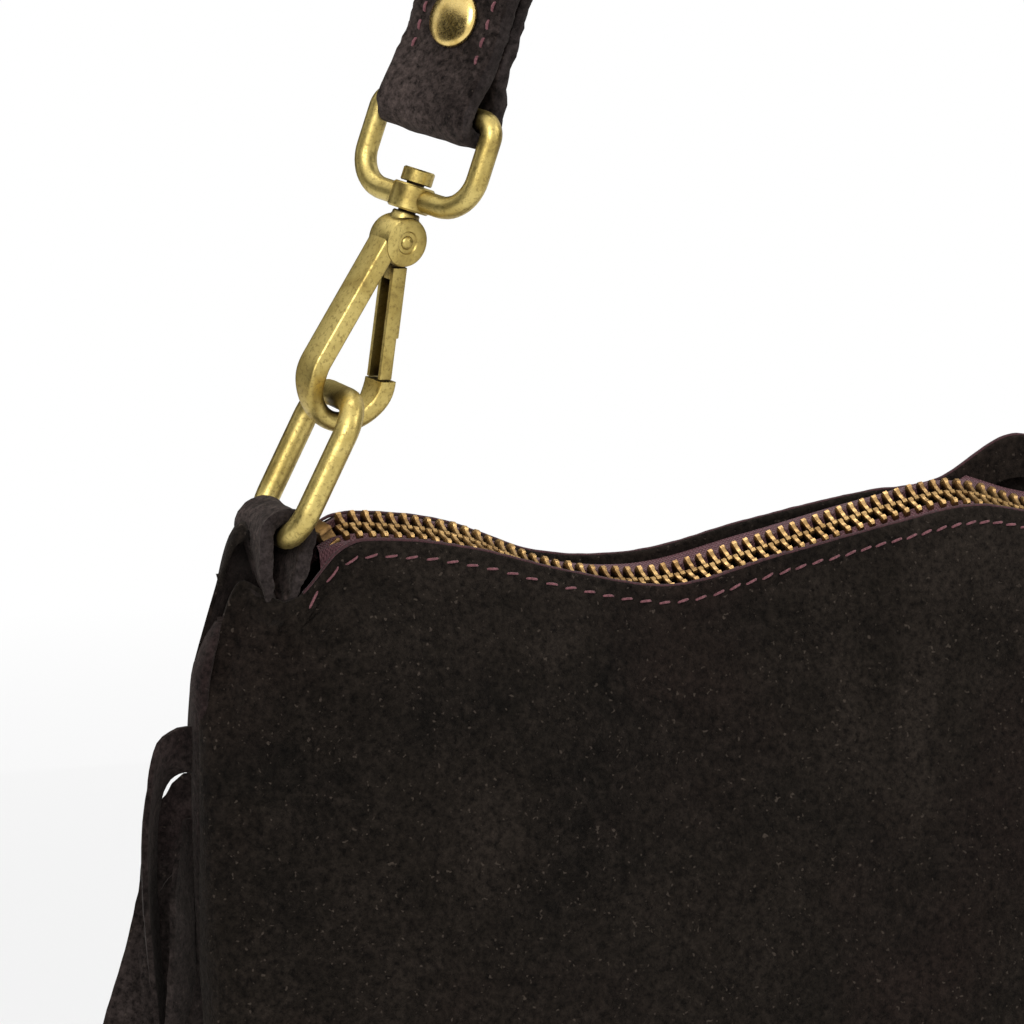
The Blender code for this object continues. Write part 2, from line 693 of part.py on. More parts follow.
def hook_mesh():
    """Cast hook: spine, bend and nose as one bar, a slotted head and the swivel stud."""
    steps = 11
    start, end = hook_tangent(HOOK_SPINE_Q, -1), hook_tangent(0, 1) + 2 * math.pi
    path = [Vector((HOOK_SPINE_Q, 0, HEAD_P))]
    path += [bend_point(start + (end - start) * i / steps) for i in range(steps + 1)]
    sections = []
    for i, point in enumerate(path):
        if i == 0:
            along = path[1] - path[0]
        else:
            angle = start + (end - start) * (i - 1) / steps
            along = Vector((-math.sin(angle), 0, math.cos(angle)))
        along = along.normalized()
        low = ease(1 - point.z / HOOK_BEND_RADIUS)
        depth = HOOK_DEPTH + (HOOK_BEND_DEPTH - HOOK_DEPTH) * low
        edge = HOOK_EDGE + (HOOK_BEND_EDGE - HOOK_EDGE) * low
        across = Vector((0, 1, 0)).cross(along)
        sections.append(section_at(point, across, Vector((0, 1, 0)), bevelled(HOOK_WIRE, depth, edge)))
    head_half = HOOK_DEPTH / 2 + GAP
    slot = HEAD_SLOT / 2
    slot_radius = KNUCKLE_RADIUS + GAP
    head = Vector((0, 0, HEAD_P))
    y = Vector((0, 1, 0))
    stud_top = LOOP_BAR_P + BOSS_HEIGHT / 2 + GAP
    collar_top = LOOP_BAR_P - BOSS_HEIGHT / 2 - GAP
    gate_line = (bend_point(end) - head).normalized()
    slot_turn = Matrix.Translation(head) @ Matrix((y.cross(gate_line), y, gate_line)).transposed().to_4x4()
    return combine(
        "hook",
        swept_mesh(sections),
        [
            ("UNION", rod_mesh(head - y * head_half, head + y * head_half, HEAD_RADIUS, 20)),
            ("UNION", rod_mesh((0, 0, HEAD_P + HEAD_RADIUS * 0.8), (0, 0, collar_top), COLLAR_RADIUS)),
            ("DIFFERENCE", rod_mesh(head - y * slot, head + y * slot, slot_radius, 20)),
            (
                "DIFFERENCE",
                box_mesh((-slot_radius, -slot, 0), (slot_radius, slot, HEAD_RADIUS * 1.5), slot_turn),
            ),
            ("DIFFERENCE", rod_mesh(head - y * HOOK_DEPTH, head + y * HOOK_DEPTH, PIN_RADIUS + GAP)),
            ("UNION", rod_mesh((0, 0, collar_top - GAP), (0, 0, stud_top + GAP), STUD_RADIUS)),
            (
                "UNION",
                rod_mesh((0, 0, stud_top), (0, 0, stud_top + STUD_HEAD_HEIGHT), STUD_HEAD_RADIUS),
            ),
        ],
    )


def gate_mesh():
    """Pressed gate: a channel open to the inside of the hook, with a knuckle on the pin."""
    end = hook_tangent(0, 1)
    head = Vector((0, 0, HEAD_P))
    nose = bend_point(end)
    along = (nose - head).normalized()
    length = (nose - head).length
    y = Vector((0, 1, 0))
    inward = y.cross(along)
    if inward.x > 0:
        inward = -inward
    a, b = GATE_WIDTH / 2, GATE_DEPTH / 2
    groove, floor = b - GATE_WALL, a - GATE_CHANNEL
    corner = a - GATE_EDGE
    half_outline = [
        (floor, groove), (a, groove), (a, b - GATE_EDGE), (corner, b), (-corner, b), (-a, b - GATE_EDGE),
    ]
    outline = half_outline + [(inwards, -depth) for inwards, depth in reversed(half_outline)]
    channel_start = HEAD_RADIUS + GAP
    ends = (channel_start, length - GATE_NOSE_GAP)
    sections = [section_at(head + along * end_at, inward, y, outline) for end_at in ends]
    half = KNUCKLE_WIDTH / 2
    tongue_turn = Matrix.Translation(head) @ Matrix((y.cross(along), y, along)).transposed().to_4x4()
    side = a - GATE_WALL / 4
    tongue = box_mesh((-side, -half, 0), (side, half, channel_start + GATE_WIDTH), tongue_turn)
    return combine(
        "gate",
        swept_mesh(sections),
        [
            ("UNION", tongue),
            ("UNION", rod_mesh(head - y * half, head + y * half, KNUCKLE_RADIUS, 20)),
            ("DIFFERENCE", rod_mesh(head - y * HOOK_DEPTH, head + y * HOOK_DEPTH, PIN_RADIUS + GAP)),
        ],
    )


def pin_mesh():
    """Pivot pin with a low head at each end, turned about the hook's depth."""
    half = HOOK_DEPTH / 2 + 2 * GAP
    profile = [
        (0, -half - PIN_HEAD_HEIGHT), (PIN_HEAD_RADIUS * 0.7, -half - PIN_HEAD_HEIGHT),
        (PIN_HEAD_RADIUS, -half), (PIN_RADIUS, -half), (PIN_RADIUS, half), (PIN_HEAD_RADIUS, half),
        (PIN_HEAD_RADIUS * 0.7, half + PIN_HEAD_HEIGHT), (0, half + PIN_HEAD_HEIGHT),
    ]
    turn = Matrix.Rotation(math.pi / 2, 4, "X")
    return turned_mesh(profile, turn, 12)


def loop_mesh():
    """Swivel loop of round wire with the boss that the stud turns in."""
    points = rounded_rectangle(LOOP_WIDTH, LOOP_HEIGHT, LOOP_STRAP_CORNER, LOOP_CORNER)
    wire = closed_wire("loop", points, LOOP_WIRE / 2)
    low, high = (0, 0, -BOSS_HEIGHT / 2), (0, 0, BOSS_HEIGHT / 2)
    bore = (0, 0, BOSS_HEIGHT)
    return combine(
        "loop",
        wire,
        [
            ("UNION", rod_mesh(low, high, BOSS_RADIUS, 20)),
            ("DIFFERENCE", rod_mesh(-Vector(bore), bore, STUD_RADIUS + GAP)),
        ],
    )


def rivet_meshes():
    """Cap with its post, and base, turned about the line through both layers of strap."""
    stack = STRAP_THICKNESS + GAP / 2
    seat = stack + GAP
    dome = [(RIVET_RADIUS * math.sin(a), seat + RIVET_RIM + RIVET_DOME * math.cos(a)) for a in
            (math.pi / 2 * i / 4 for i in range(5))]
    tip = -seat - RIVET_BASE_HEIGHT * 0.5
    cap = dome + [(RIVET_RADIUS, seat), (RIVET_POST_RADIUS, seat), (RIVET_POST_RADIUS, tip), (0, tip)]
    bore = RIVET_POST_RADIUS + GAP
    floor = tip - GAP
    base = [
        (0, floor), (bore, floor), (bore, -seat), (RIVET_BASE_RADIUS, -seat),
        (RIVET_BASE_RADIUS, -seat - RIVET_RIM), (RIVET_BASE_RADIUS * 0.7, -seat - RIVET_BASE_HEIGHT),
        (0, -seat - RIVET_BASE_HEIGHT),
    ]
    return turned_mesh(cap), turned_mesh(base)


def strap_turn_at(p):
    """How far the strap is turned at p along a leg: full at the loop, none at the apex."""
    flat = STRAP_BAR_P + STRAP_FLAP_LENGTH
    return STRAP_TURN * (1 - ease((p - flat) / (LEG_LENGTH - flat)))


def left_frame():
    """Hook axes at the left: q inwards, y to the back and p up the line of pull."""
    frame = Matrix.Rotation(PULL_ANGLE, 4, "Y")
    frame.translation = (-CONTACT_HALF_SPAN, 0, CONTACT_Z)
    return frame


def strap_end_sections():
    """Sections from the free end of the left flap, round the loop's bar and up to the straight leg."""
    frame = left_frame()
    turned = frame.to_3x3() @ Matrix.Rotation(STRAP_TURN, 3, "Z")
    inwards, upwards = turned.col[0], turned.col[2]
    width_way = -turned.col[1]
    bar = frame @ Vector((0, 0, STRAP_BAR_P))
    radius = LOOP_WIRE / 2 + GAP + STRAP_THICKNESS / 2
    settle = 3 * radius
    flap_top = STRAP_FLAP_LENGTH
    path = [(LAYER_OFFSET, flap_top), (LAYER_OFFSET, (flap_top + settle) / 2), (LAYER_OFFSET, settle)]
    arc_steps = 8
    for i in range(arc_steps + 1):
        angle = math.radians(20 - 220 * i / arc_steps)
        path.append((radius * math.cos(angle), radius * math.sin(angle)))
    path += [(-LAYER_OFFSET, settle), (-LAYER_OFFSET, (flap_top + settle) / 2), (-LAYER_OFFSET, flap_top)]
    points = [bar + inwards * a + upwards * b for a, b in path]
    sections = []
    for i, point in enumerate(points):
        along = (points[min(i + 1, len(points) - 1)] - points[max(i - 1, 0)]).normalized()
        through = along.cross(width_way)
        sections.append(section_at(point, width_way, through, rectangle(STRAP_WIDTH, STRAP_THICKNESS)))
    return sections


def strap_mesh():
    """One strip: end flap, fold, leg, apex, leg, fold, end flap."""
    left = strap_end_sections()
    leg_steps, apex_steps = 8, 10
    start = STRAP_BAR_P + STRAP_FLAP_LENGTH
    frame = left_frame()
    for i in range(1, leg_steps + 1):
        p = start + (LEG_LENGTH - start) * i / leg_steps
        turned = frame.to_3x3() @ Matrix.Rotation(strap_turn_at(p), 3, "Z")
        centre = frame @ Vector((0, 0, p)) - turned.col[0] * LAYER_OFFSET
        outline = rectangle(STRAP_WIDTH, STRAP_THICKNESS)
        through = turned.col[2].cross(-turned.col[1])
        left.append(section_at(centre, -turned.col[1], through, outline))
    half_turn = Matrix.Rotation(math.pi, 4, "Z")
    sweep = math.pi / 2 - PULL_ANGLE
    apex = []
    for i in range(1, 2 * apex_steps):
        angle = PULL_ANGLE + 2 * sweep * i / (2 * apex_steps)
        outward = Vector((-math.cos(angle), 0, math.sin(angle)))
        centre = Vector((0, 0, APEX_CENTRE_Z)) + outward * (AXIS_RADIUS + LAYER_OFFSET)
        outline = rectangle(STRAP_WIDTH, STRAP_THICKNESS)
        apex.append(section_at(centre, Vector((0, -1, 0)), -outward, outline))
    right = []
    for section in reversed(left):
        moved = [half_turn @ point for point in section]
        right.append([moved[1], moved[0], moved[3], moved[2]])
    return swept_mesh(left + apex + right)


def build_side(side, name, hook, gate, pin, loop, rivet_cap, rivet_base):
    """Hook, gate, pin, loop and rivet at one end of the strap."""
    brass = ("antique_brass", BRASS_COLOUR, 0.42, 1)
    bright = ("bright_brass", BRIGHT_BRASS_COLOUR, 0.25, 1)
    half_turn = 0 if side < 0 else math.pi
    contact = (side * CONTACT_HALF_SPAN, 0, CONTACT_Z)
    line = add_empty(f"{name}_pull_line", contact, (0, PULL_ANGLE, half_turn))
    turned = add_empty(f"{name}_hook_place", (0, 0, 0), (0, 0, HOOK_TURN), line)
    add_object(f"{name}_hook", hook.copy(), brass, turned)
    pivot = Vector((0, 0, HEAD_P))
    for piece, mesh, centred in (("gate", gate, False), ("gate_pin", pin, True)):
        obj = add_object(f"{name}_{piece}", mesh.copy(), brass, turned)
        obj.location = pivot
        if not centred:
            obj.data.transform(Matrix.Translation(-pivot))
    loop_turn = STRAP_TURN - math.pi / 2
    ring = add_object(f"{name}_loop", loop.copy(), brass, line)
    ring.location = (0, 0, LOOP_BAR_P)
    ring.rotation_euler = (0, 0, loop_turn)
    through = Matrix.Rotation(STRAP_TURN, 4, "Z") @ Matrix.Rotation(-math.pi / 2, 4, "Y")
    for piece, mesh in (("rivet_cap", rivet_cap), ("rivet_base", rivet_base)):
        obj = add_object(f"{name}_{piece}", mesh.copy(), bright, line)
        obj.location = (0, 0, RIVET_P)
        obj.rotation_euler = through.to_euler()


def build_strap():
    frame = left_frame()
    turned = frame.to_3x3() @ Matrix.Rotation(STRAP_TURN, 3, "Z")
    centre = frame @ Vector((0, 0, RIVET_P))
    reach = turned.col[0] * 4 * STRAP_THICKNESS
    half_turn = Matrix.Rotation(math.pi, 3, "Z")
    steps = []
    for turn in (Matrix.Identity(3), half_turn):
        start, end = turn @ (centre - reach), turn @ (centre + reach)
        steps.append(("DIFFERENCE", rod_mesh(start, end, RIVET_POST_RADIUS + GAP)))
    mesh = combine("strap", strap_mesh(), steps)
    add_object("strap", mesh, ("suede", SUEDE_COLOUR, 0.95, 0))


def ring_place():
    """The left ring's lower bar, from its upper bar in the hook."""
    top = left_frame() @ Vector((HOOK_BEND_Q, 0, RING_TOP_P))
    lean = Vector((math.sin(RING_LEAN), 0, math.cos(RING_LEAN)))
    return top - lean * RING_LENGTH


def ring_mesh():
    points = rounded_rectangle(RING_WIDTH, RING_LENGTH, RING_CORNER, RING_CORNER)
    turn = Matrix.Rotation(math.pi / 2, 3, "Z")
    return closed_wire("ring", [turn @ Vector(point) for point in points], RING_WIRE / 2)


def tab_mesh():
    """Strip folded over the ring's lower bar, narrowed to its sewn end. The origin is the bar's middle."""
    radius = RING_WIRE / 2 + GAP + TAB_THICKNESS / 2
    foot = Vector((TAB_INSET, 0, -TAB_DEPTH))
    place = ring_place()
    neck = max(edge_height(place.x, -1), edge_height(place.x, 1)) + TAB_CLEAR + BASE_Z - place.z
    layer = (TAB_THICKNESS + GAP) / 2
    arc_steps = 8
    arc = []
    for i in range(arc_steps + 1):
        angle = math.radians(200 - 220 * i / arc_steps)
        arc.append(Vector((radius * math.cos(angle), 0, radius * math.sin(angle))))
    left_leg = [foot + Vector((-layer, 0, 0)), foot + Vector((-layer - 0.2 * radius, 0, TAB_DEPTH * 0.3))]
    right_leg = [foot + Vector((layer + 0.2 * radius, 0, TAB_DEPTH * 0.3)), foot + Vector((layer, 0, 0))]
    path = left_leg + arc + right_leg
    sections = []
    for i, point in enumerate(path):
        along = (path[min(i + 1, len(path) - 1)] - path[max(i - 1, 0)]).normalized()
        share = ease((point.z - neck) / (TAB_SHOULDER - neck))
        width = TAB_PINCH_WIDTH + (TAB_WIDTH - TAB_PINCH_WIDTH) * share
        across = Vector((0, 1, 0))
        sections.append(section_at(point, across, along.cross(across), rectangle(width, TAB_THICKNESS)))
    return swept_mesh(sections)


def build_rings_and_tabs():
    place = ring_place()
    for side, name in ((-1, "left"), (1, "right")):
        half_turn = 0 if side < 0 else math.pi
        location = (side * abs(place.x), 0, place.z)
        bar = add_empty(f"{name}_ring_bar", location, (0, 0, half_turn))
        ring = add_object(f"{name}_ring", ring_mesh(), ("antique_brass", BRASS_COLOUR, 0.42, 1), bar)
        ring.rotation_euler = (0, RING_LEAN, 0)
        add_object(f"{name}_tab", tab_mesh(), ("suede", SUEDE_COLOUR, 0.95, 0), bar)


def strip_sections(index, top, pitch):
    """Sections of one strip of the left fringe: out of the band, over and down."""
    lane = FRINGE_LANES[index % len(FRINGE_LANES)]
    rank = (FRINGE_STRIPS - 1 - index) // len(FRINGE_LANES)
    out = FRINGE_LEAST_OUT + FRINGE_STEP_OUT * rank
    start = Vector((-BASE_HALF_WIDTH - FRINGE_BAND_OUT + GAP, 0, top - pitch / 2))
    tip_z = FRINGE_TIP + FRINGE_TIP_STEP * (index % FRINGE_TIP_COUNT)
    drop = min(FRINGE_DROP, (start.z - tip_z) / 2)
    bend = start + Vector((-out, lane, 0))
    width = pitch - FRINGE_SLIT
    turn_share = (0, 0.35, 0.8, 1, 1)
    crown = Vector((bend.x, lane, start.z + FRINGE_RISE))
    hanging = Vector((bend.x, lane, start.z - drop))
    path = [start]
    for t in (0.3, 0.65, 1.0):
        path.append(start.lerp(crown, t).lerp(crown.lerp(hanging, t), t))
    path.append(Vector((bend.x, lane, tip_z)))
    sections = []
    for i, point in enumerate(path):
        along = (path[min(i + 1, len(path) - 1)] - path[max(i - 1, 0)]).normalized()
        angle = math.pi / 2 * turn_share[i]
        across = Vector((0, math.sin(angle), math.cos(angle)))
        across = (across - along * across.dot(along)).normalized()
        outline = rectangle(width, FRINGE_THICKNESS)
        raised = point + Vector((0, 0, BASE_Z))
        sections.append(section_at(raised, across, along.cross(across), outline))
    return sections


def fringe_mesh():
    """The left comb: a band in the side seam and the strips cut from it."""
    pitch = (FRINGE_TOP - FRINGE_BOTTOM) / FRINGE_STRIPS
    inner_x = -BODY_HALF_WIDTH + 2 * SUEDE
    outer_x = -BASE_HALF_WIDTH - FRINGE_BAND_OUT
    half = FRINGE_THICKNESS / 2
    band = box_mesh((outer_x, -half, BASE_Z + FRINGE_BOTTOM), (inner_x, half, BASE_Z + FRINGE_TOP))
    bm = bmesh.new()
    for index in range(FRINGE_STRIPS):
        strip = swept_mesh(strip_sections(index, FRINGE_TOP - pitch * index, pitch))
        bm.from_mesh(strip)
    return combine("fringe", band, [("UNION", mesh_from(bm, "strips"))])


def build_fringe():
    comb = fringe_mesh()
    for side, name in ((-1, "left"), (1, "right")):
        fringe = add_object(f"{name}_fringe", comb.copy(), ("suede", SUEDE_COLOUR, 0.95, 0))
        fringe.rotation_euler = (0, 0, 0 if side < 0 else math.pi)


def main():
    clear_scene()
    build_bag_body()
    build_zip_stops()
    build_slider()
    build_strap()
    hardware = (hook_mesh(), gate_mesh(), pin_mesh(), loop_mesh(), *rivet_meshes())
    for side, name in ((-1, "left"), (1, "right")):
        build_side(side, name, *hardware)
    build_rings_and_tabs()
    build_fringe()


main()
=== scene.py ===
import math
import random

import bmesh
import bpy
import numpy as np
from mathutils import Matrix, Vector, noise


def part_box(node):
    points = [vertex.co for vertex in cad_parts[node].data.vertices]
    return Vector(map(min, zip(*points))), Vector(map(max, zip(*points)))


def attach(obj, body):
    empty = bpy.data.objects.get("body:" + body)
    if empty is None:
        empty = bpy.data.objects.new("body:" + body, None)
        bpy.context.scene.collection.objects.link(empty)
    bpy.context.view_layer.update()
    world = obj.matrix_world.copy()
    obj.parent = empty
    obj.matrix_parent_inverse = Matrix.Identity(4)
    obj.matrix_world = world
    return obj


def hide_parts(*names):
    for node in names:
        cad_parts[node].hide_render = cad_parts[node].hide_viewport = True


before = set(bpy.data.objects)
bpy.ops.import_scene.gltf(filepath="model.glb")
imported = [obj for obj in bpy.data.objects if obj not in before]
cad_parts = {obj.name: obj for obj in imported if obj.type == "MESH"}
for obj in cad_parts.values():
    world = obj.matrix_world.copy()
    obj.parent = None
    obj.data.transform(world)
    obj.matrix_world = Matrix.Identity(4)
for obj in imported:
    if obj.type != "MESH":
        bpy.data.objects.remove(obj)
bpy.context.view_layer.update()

MM = 0.001
BASE_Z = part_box("base_panel")[0].z

# Camera, at the photograph's viewing angle
CAMERA_PLACE = Vector((-0.3976, -0.8492, 0.3704 + BASE_Z))
CAMERA_TARGET = Vector((-0.0945, -0.0163, 0.2141 + BASE_Z))
CAMERA_LENS = 194.6  # mm, on a 36 mm sensor

bpy.ops.object.select_all(action="DESELECT")
aim = (CAMERA_TARGET - CAMERA_PLACE).to_track_quat("-Z", "Y").to_euler()
bpy.ops.object.camera_add(location=CAMERA_PLACE, rotation=aim)
camera = bpy.context.object
camera.data.lens = CAMERA_LENS
camera.data.sensor_width = 36
camera.data.clip_end = 50
bpy.context.scene.camera = camera

# Sizes that the dressed pieces share with the frame, in millimetres
PULL_ANGLE = math.radians(18.8)
STRAP_TURN = math.radians(28)
HOOK_TURN = math.radians(18)
CONTACT_HALF_SPAN = 118.5
CONTACT_Z = BASE_Z / MM + 227.6
STRAP_WIDTH, STRAP_THICKNESS, FLAP_LENGTH = 20.5, 2.6, 42.0
APEX_RADIUS, LAYER_GAP = 45.0, 0.3
HOOK_WIRE, HOOK_DEPTH = 3.2, 5.0
BEND_RADIUS, BEND_Q, SPINE_Q, HEAD_P, HEAD_RADIUS = 7.1, -1.6, -2.3, 31.4, 4.1
LOOP_WIRE, LOOP_BAR_P = 3.7, 38.6
LOOP_WIDTH, LOOP_HEIGHT = 25.2, 15.3
STRAP_BAR_P = LOOP_BAR_P + LOOP_HEIGHT
RIVET_P = 68.4
RING_WIRE, RING_WIDTH, RING_LENGTH, RING_LEAN = 4.4, 20.9, 24.4, math.radians(27)
RING_PLAY = 0.4
BODY_SQUARENESS = 4.2
BASE_HALF_WIDTH, BODY_HALF_WIDTH, CORNER_HALF_WIDTH = 147.0, 144.0, 139.0
BASE_HALF_DEPTH, TOP_HALF_DEPTH = 42.0, 8.6
FRINGE_TOP, FRINGE_BOTTOM, FRINGE_STRIPS = 178.0, 12.0, 22
STRIP_WIDTH, STRIP_THICKNESS = 7.3, 1.3
ZIP_START, ZIP_END, TOOTH_PITCH, ZIP_TAPE_CUT = -121.0, 110.0, 2.2, 14.0

# x, zip height, front edge above the zip, back edge above the zip
TOP_WAVE = [
    (-150, 198.0, -0.5, -0.5), (-137, 202.0, 0.8, -0.5), (-129, 203.6, -4.6, -2.4),
    (-120, 209.4, -1.8, 0.2), (-112, 209.6, -1.3, 0.9), (-98, 206.8, -0.8, 1.3),
    (-81, 199.8, 1.3, 2.0), (-63, 197.5, 0.2, 3.4), (-44, 201.5, 0.0, 3.2),
    (-22, 207.0, -1.1, 1.4), (-8, 209.0, -1.1, 0.8), (6, 205.0, 0.3, 11.8),
    (20, 202.4, 0.3, 10.0), (32, 202.92, 0.2, 5.0), (50, 203.7, 0.1, 2.0),
    (108, 206.21, -0.6, 0.8), (117, 206.6, -1.0, 0.4), (129, 203.6, -4.6, -2.4),
    (137, 202.0, 0.8, -0.5), (150, 198.0, -0.5, -0.5),
]

LEFT = Matrix.Translation((-CONTACT_HALF_SPAN, 0, CONTACT_Z)) @ Matrix.Rotation(PULL_ANGLE, 4, "Y")
HOOK = LEFT @ Matrix.Rotation(HOOK_TURN, 4, "Z")
HALF_TURN = Matrix.Rotation(math.pi, 4, "Z")


# Finishes
class Finish:
    """A material with its node tree, and short ways to add and join nodes."""

    def __init__(self, name):
        self.material = bpy.data.materials.new(name)
        self.material.use_nodes = True
        self.nodes = self.material.node_tree.nodes
        self.links = self.material.node_tree.links
        self.shader = self.nodes["Principled BSDF"]

    def add(self, kind, **settings):
        node = self.nodes.new(kind)
        for key, value in settings.items():
            if key in node.inputs:
                node.inputs[key].default_value = value
            else:
                setattr(node, key, value)
        return node

    def join(self, output, socket):
        self.links.new(output, socket)

    def set(self, **values):
        for key, value in values.items():
            self.shader.inputs[key.replace("_", " ")].default_value = value

    def noise(self, vector, scale, detail=3.0, roughness=0.55, distortion=0.0):
        node = self.add("ShaderNodeTexNoise")
        node.inputs["Scale"].default_value = scale
        node.inputs["Detail"].default_value = detail
        node.inputs["Roughness"].default_value = roughness
        node.inputs["Distortion"].default_value = distortion
        self.join(vector, node.inputs["Vector"])
        return node.outputs["Fac"]

    def ramp(self, value, *stops):
        node = self.add("ShaderNodeValToRGB")
        ramp = node.color_ramp
        while len(ramp.elements) < len(stops):
            ramp.elements.new(0.5)
        for element, (place, colour) in zip(ramp.elements, stops):
            element.position = place
            element.color = colour if len(colour) == 4 else (*colour, 1)
        self.join(value, node.inputs["Fac"])
        return node.outputs["Color"]

    def mix(self, factor, a, b, blend="MIX"):
        node = self.add("ShaderNodeMix", data_type="RGBA", blend_type=blend)
        for value, socket in ((factor, node.inputs[0]), (a, node.inputs[6]), (b, node.inputs[7])):
            if isinstance(value, bpy.types.NodeSocket):
                self.join(value, socket)
            elif socket == node.inputs[0]:
                socket.default_value = value
            else:
                socket.default_value = (*value, 1)
        return node.outputs[2]

    def maths(self, operation, a, b=0.0):
        node = self.add("ShaderNodeMath", operation=operation)
        for value, socket in ((a, node.inputs[0]), (b, node.inputs[1])):
            if isinstance(value, bpy.types.NodeSocket):
                self.join(value, socket)
            else:
                socket.default_value = value
        return node.outputs[0]

    def bump(self, height, distance, strength=1.0, normal=None):
        node = self.add("ShaderNodeBump")
        node.inputs["Strength"].default_value = strength
        node.inputs["Distance"].default_value = distance
        self.join(height, node.inputs["Height"])
        if normal:
            self.join(normal, node.inputs["Normal"])
        return node.outputs["Normal"]

    def colour(self, output):
        self.join(output, self.shader.inputs["Base Color"])

    def normal(self, output):
        self.join(output, self.shader.inputs["Normal"])


def suede_finish(name, deep, plain, lit, warm, speck_share=0.70, rub=0.6):
    """Napped suede: brushed patches, short fibres, a few light specks of lint."""
    f = Finish(name)
    place = f.add("ShaderNodeTexCoord").outputs["Object"]
    patches = f.noise(place, 30, 4, 0.6, 0.6)
    brushed = f.noise(place, 260, 5, 0.70, 0.8)
    fibres = f.noise(place, 900, 5, 0.75)
    grain = f.noise(place, 3800, 2, 0.6)
    colour = f.ramp(patches, (0.34, deep), (0.52, plain), (0.70, lit))
    colour = f.mix(f.ramp(brushed, (0.42, (0, 0, 0)), (0.66, (0.55, 0.55, 0.55))), colour, lit)
    warmth = f.ramp(f.noise(place, 22, 2), (0.50, (0, 0, 0)), (0.72, (0.6, 0.6, 0.6)))
    colour = f.mix(warmth, colour, warm)
    shade = f.ramp(fibres, (0.34, (1 - rub,) * 3), (0.66, (1 + rub,) * 3))
    colour = f.mix(1.0, colour, shade, "MULTIPLY")
    specks = f.noise(place, 1250, 1, 0.4, 0.3)
    lint = f.ramp(specks, (speck_share, (0, 0, 0)), (speck_share + 0.06, (1, 1, 1)))
    colour = f.mix(f.maths("MULTIPLY", lint, 0.40), colour, (0.085, 0.066, 0.052))
    f.colour(colour)
    soft = f.bump(brushed, 0.0011, 0.35)
    nap = f.bump(fibres, 0.00035, 0.8, soft)
    f.normal(f.bump(grain, 0.00012, 0.7, nap))
    f.set(Roughness=0.95, Specular_IOR_Level=0.05, Sheen_Weight=0.05, Sheen_Roughness=0.5)
    f.shader.inputs["Sheen Tint"].default_value = (0.95, 0.84, 0.76, 1)
    return f.material


def antique_brass_finish(name, bright, middle, dark, gloss=0.34):
    """Brass with a rubbed patina: bright where hands polish it, with painted shade darkening its hollows."""
    f = Finish(name)
    place = f.add("ShaderNodeTexCoord").outputs["Object"]
    clouds = f.noise(place, 120, 4, 0.60, 0.5)
    freckles = f.noise(place, 1500, 4, 0.72)
    pits = f.noise(place, 3400, 2, 0.6)
    colour = f.ramp(clouds, (0.26, dark), (0.40, middle), (0.60, bright))
    colour = f.mix(f.ramp(freckles, (0.34, (0.60, 0.60, 0.60)), (0.48, (0, 0, 0))), colour, dark)
    # Painted shade: an ambient occlusion mask darkens hollows and gaps between parts to near-black brown.
    painted_hollow_shade = f.add("ShaderNodeAmbientOcclusion", samples=8)
    painted_hollow_shade.inputs["Distance"].default_value = 0.0026
    shade = f.ramp(painted_hollow_shade.outputs["AO"], (0.30, (1, 1, 1)), (0.85, (0, 0, 0)))
    colour = f.mix(shade, colour, (0.030, 0.020, 0.014))
    f.colour(colour)
    worn = f.ramp(freckles, (0.35, (gloss + 0.2,) * 3), (0.65, (gloss - 0.04,) * 3))
    f.join(worn, f.shader.inputs["Roughness"])
    rubbed = f.bump(clouds, 0.0003, 0.12)
    f.normal(f.bump(pits, 0.00004, 0.30, rubbed))
    f.set(Metallic=1.0)
    return f.material


def polished_brass_finish(name):
    f = Finish(name)
    place = f.add("ShaderNodeTexCoord").outputs["Object"]
    wear = f.noise(place, 380, 3, 0.6)
    scratches = f.noise(place, 1900, 3, 0.7, 1.5)
    f.colour(f.ramp(wear, (0.30, (0.62, 0.43, 0.13)), (0.60, (0.86, 0.64, 0.24))))
    f.join(f.ramp(scratches, (0.35, (0.34,) * 3), (0.60, (0.20,) * 3)), f.shader.inputs["Roughness"])
    f.normal(f.bump(scratches, 0.00003, 0.25))
    f.set(Metallic=1.0)
    return f.material


def woven_finish(name, warp, weft, pitch):
    """Ribbed tape, on a UV map in metres: ribs along it and picks across it."""
    f = Finish(name)
    place = f.add("ShaderNodeUVMap").outputs["UV"]
    parts = f.add("ShaderNodeSeparateXYZ")
    f.join(place, parts.inputs[0])
    along = f.maths("SINE", f.maths("MULTIPLY", parts.outputs[0], 2 * math.pi / pitch))
    across = f.maths("SINE", f.maths("MULTIPLY", parts.outputs[1], 2 * math.pi / (pitch * 1.25)))
    weave = f.maths("MULTIPLY", f.maths("ADD", f.maths("MULTIPLY", along, across), 1.0), 0.5)
    fuzz = f.noise(f.add("ShaderNodeTexCoord").outputs["Object"], 2600, 3)
    colour = f.mix(weave, warp, weft)
    colour = f.mix(1.0, colour, f.ramp(fuzz, (0.3, (0.6,) * 3), (0.7, (1.3,) * 3)), "MULTIPLY")
    f.colour(colour)
    f.normal(f.bump(fuzz, 0.0001, 0.5, f.bump(weave, 0.00022, 0.9)))
    f.set(Roughness=0.9, Specular_IOR_Level=0.2, Sheen_Weight=0.12, Sheen_Roughness=0.5)
    return f.material


def thread_finish(name, light, dark):
    f = Finish(name)
    place = f.add("ShaderNodeTexCoord").outputs["Object"]
    plies = f.noise(place, 2400, 3, 0.6)
    f.colour(f.ramp(plies, (0.35, dark), (0.65, light)))
    f.normal(f.bump(plies, 0.0001, 0.7))
    f.set(Roughness=0.75, Specular_IOR_Level=0.25, Sheen_Weight=0.1)
    return f.material


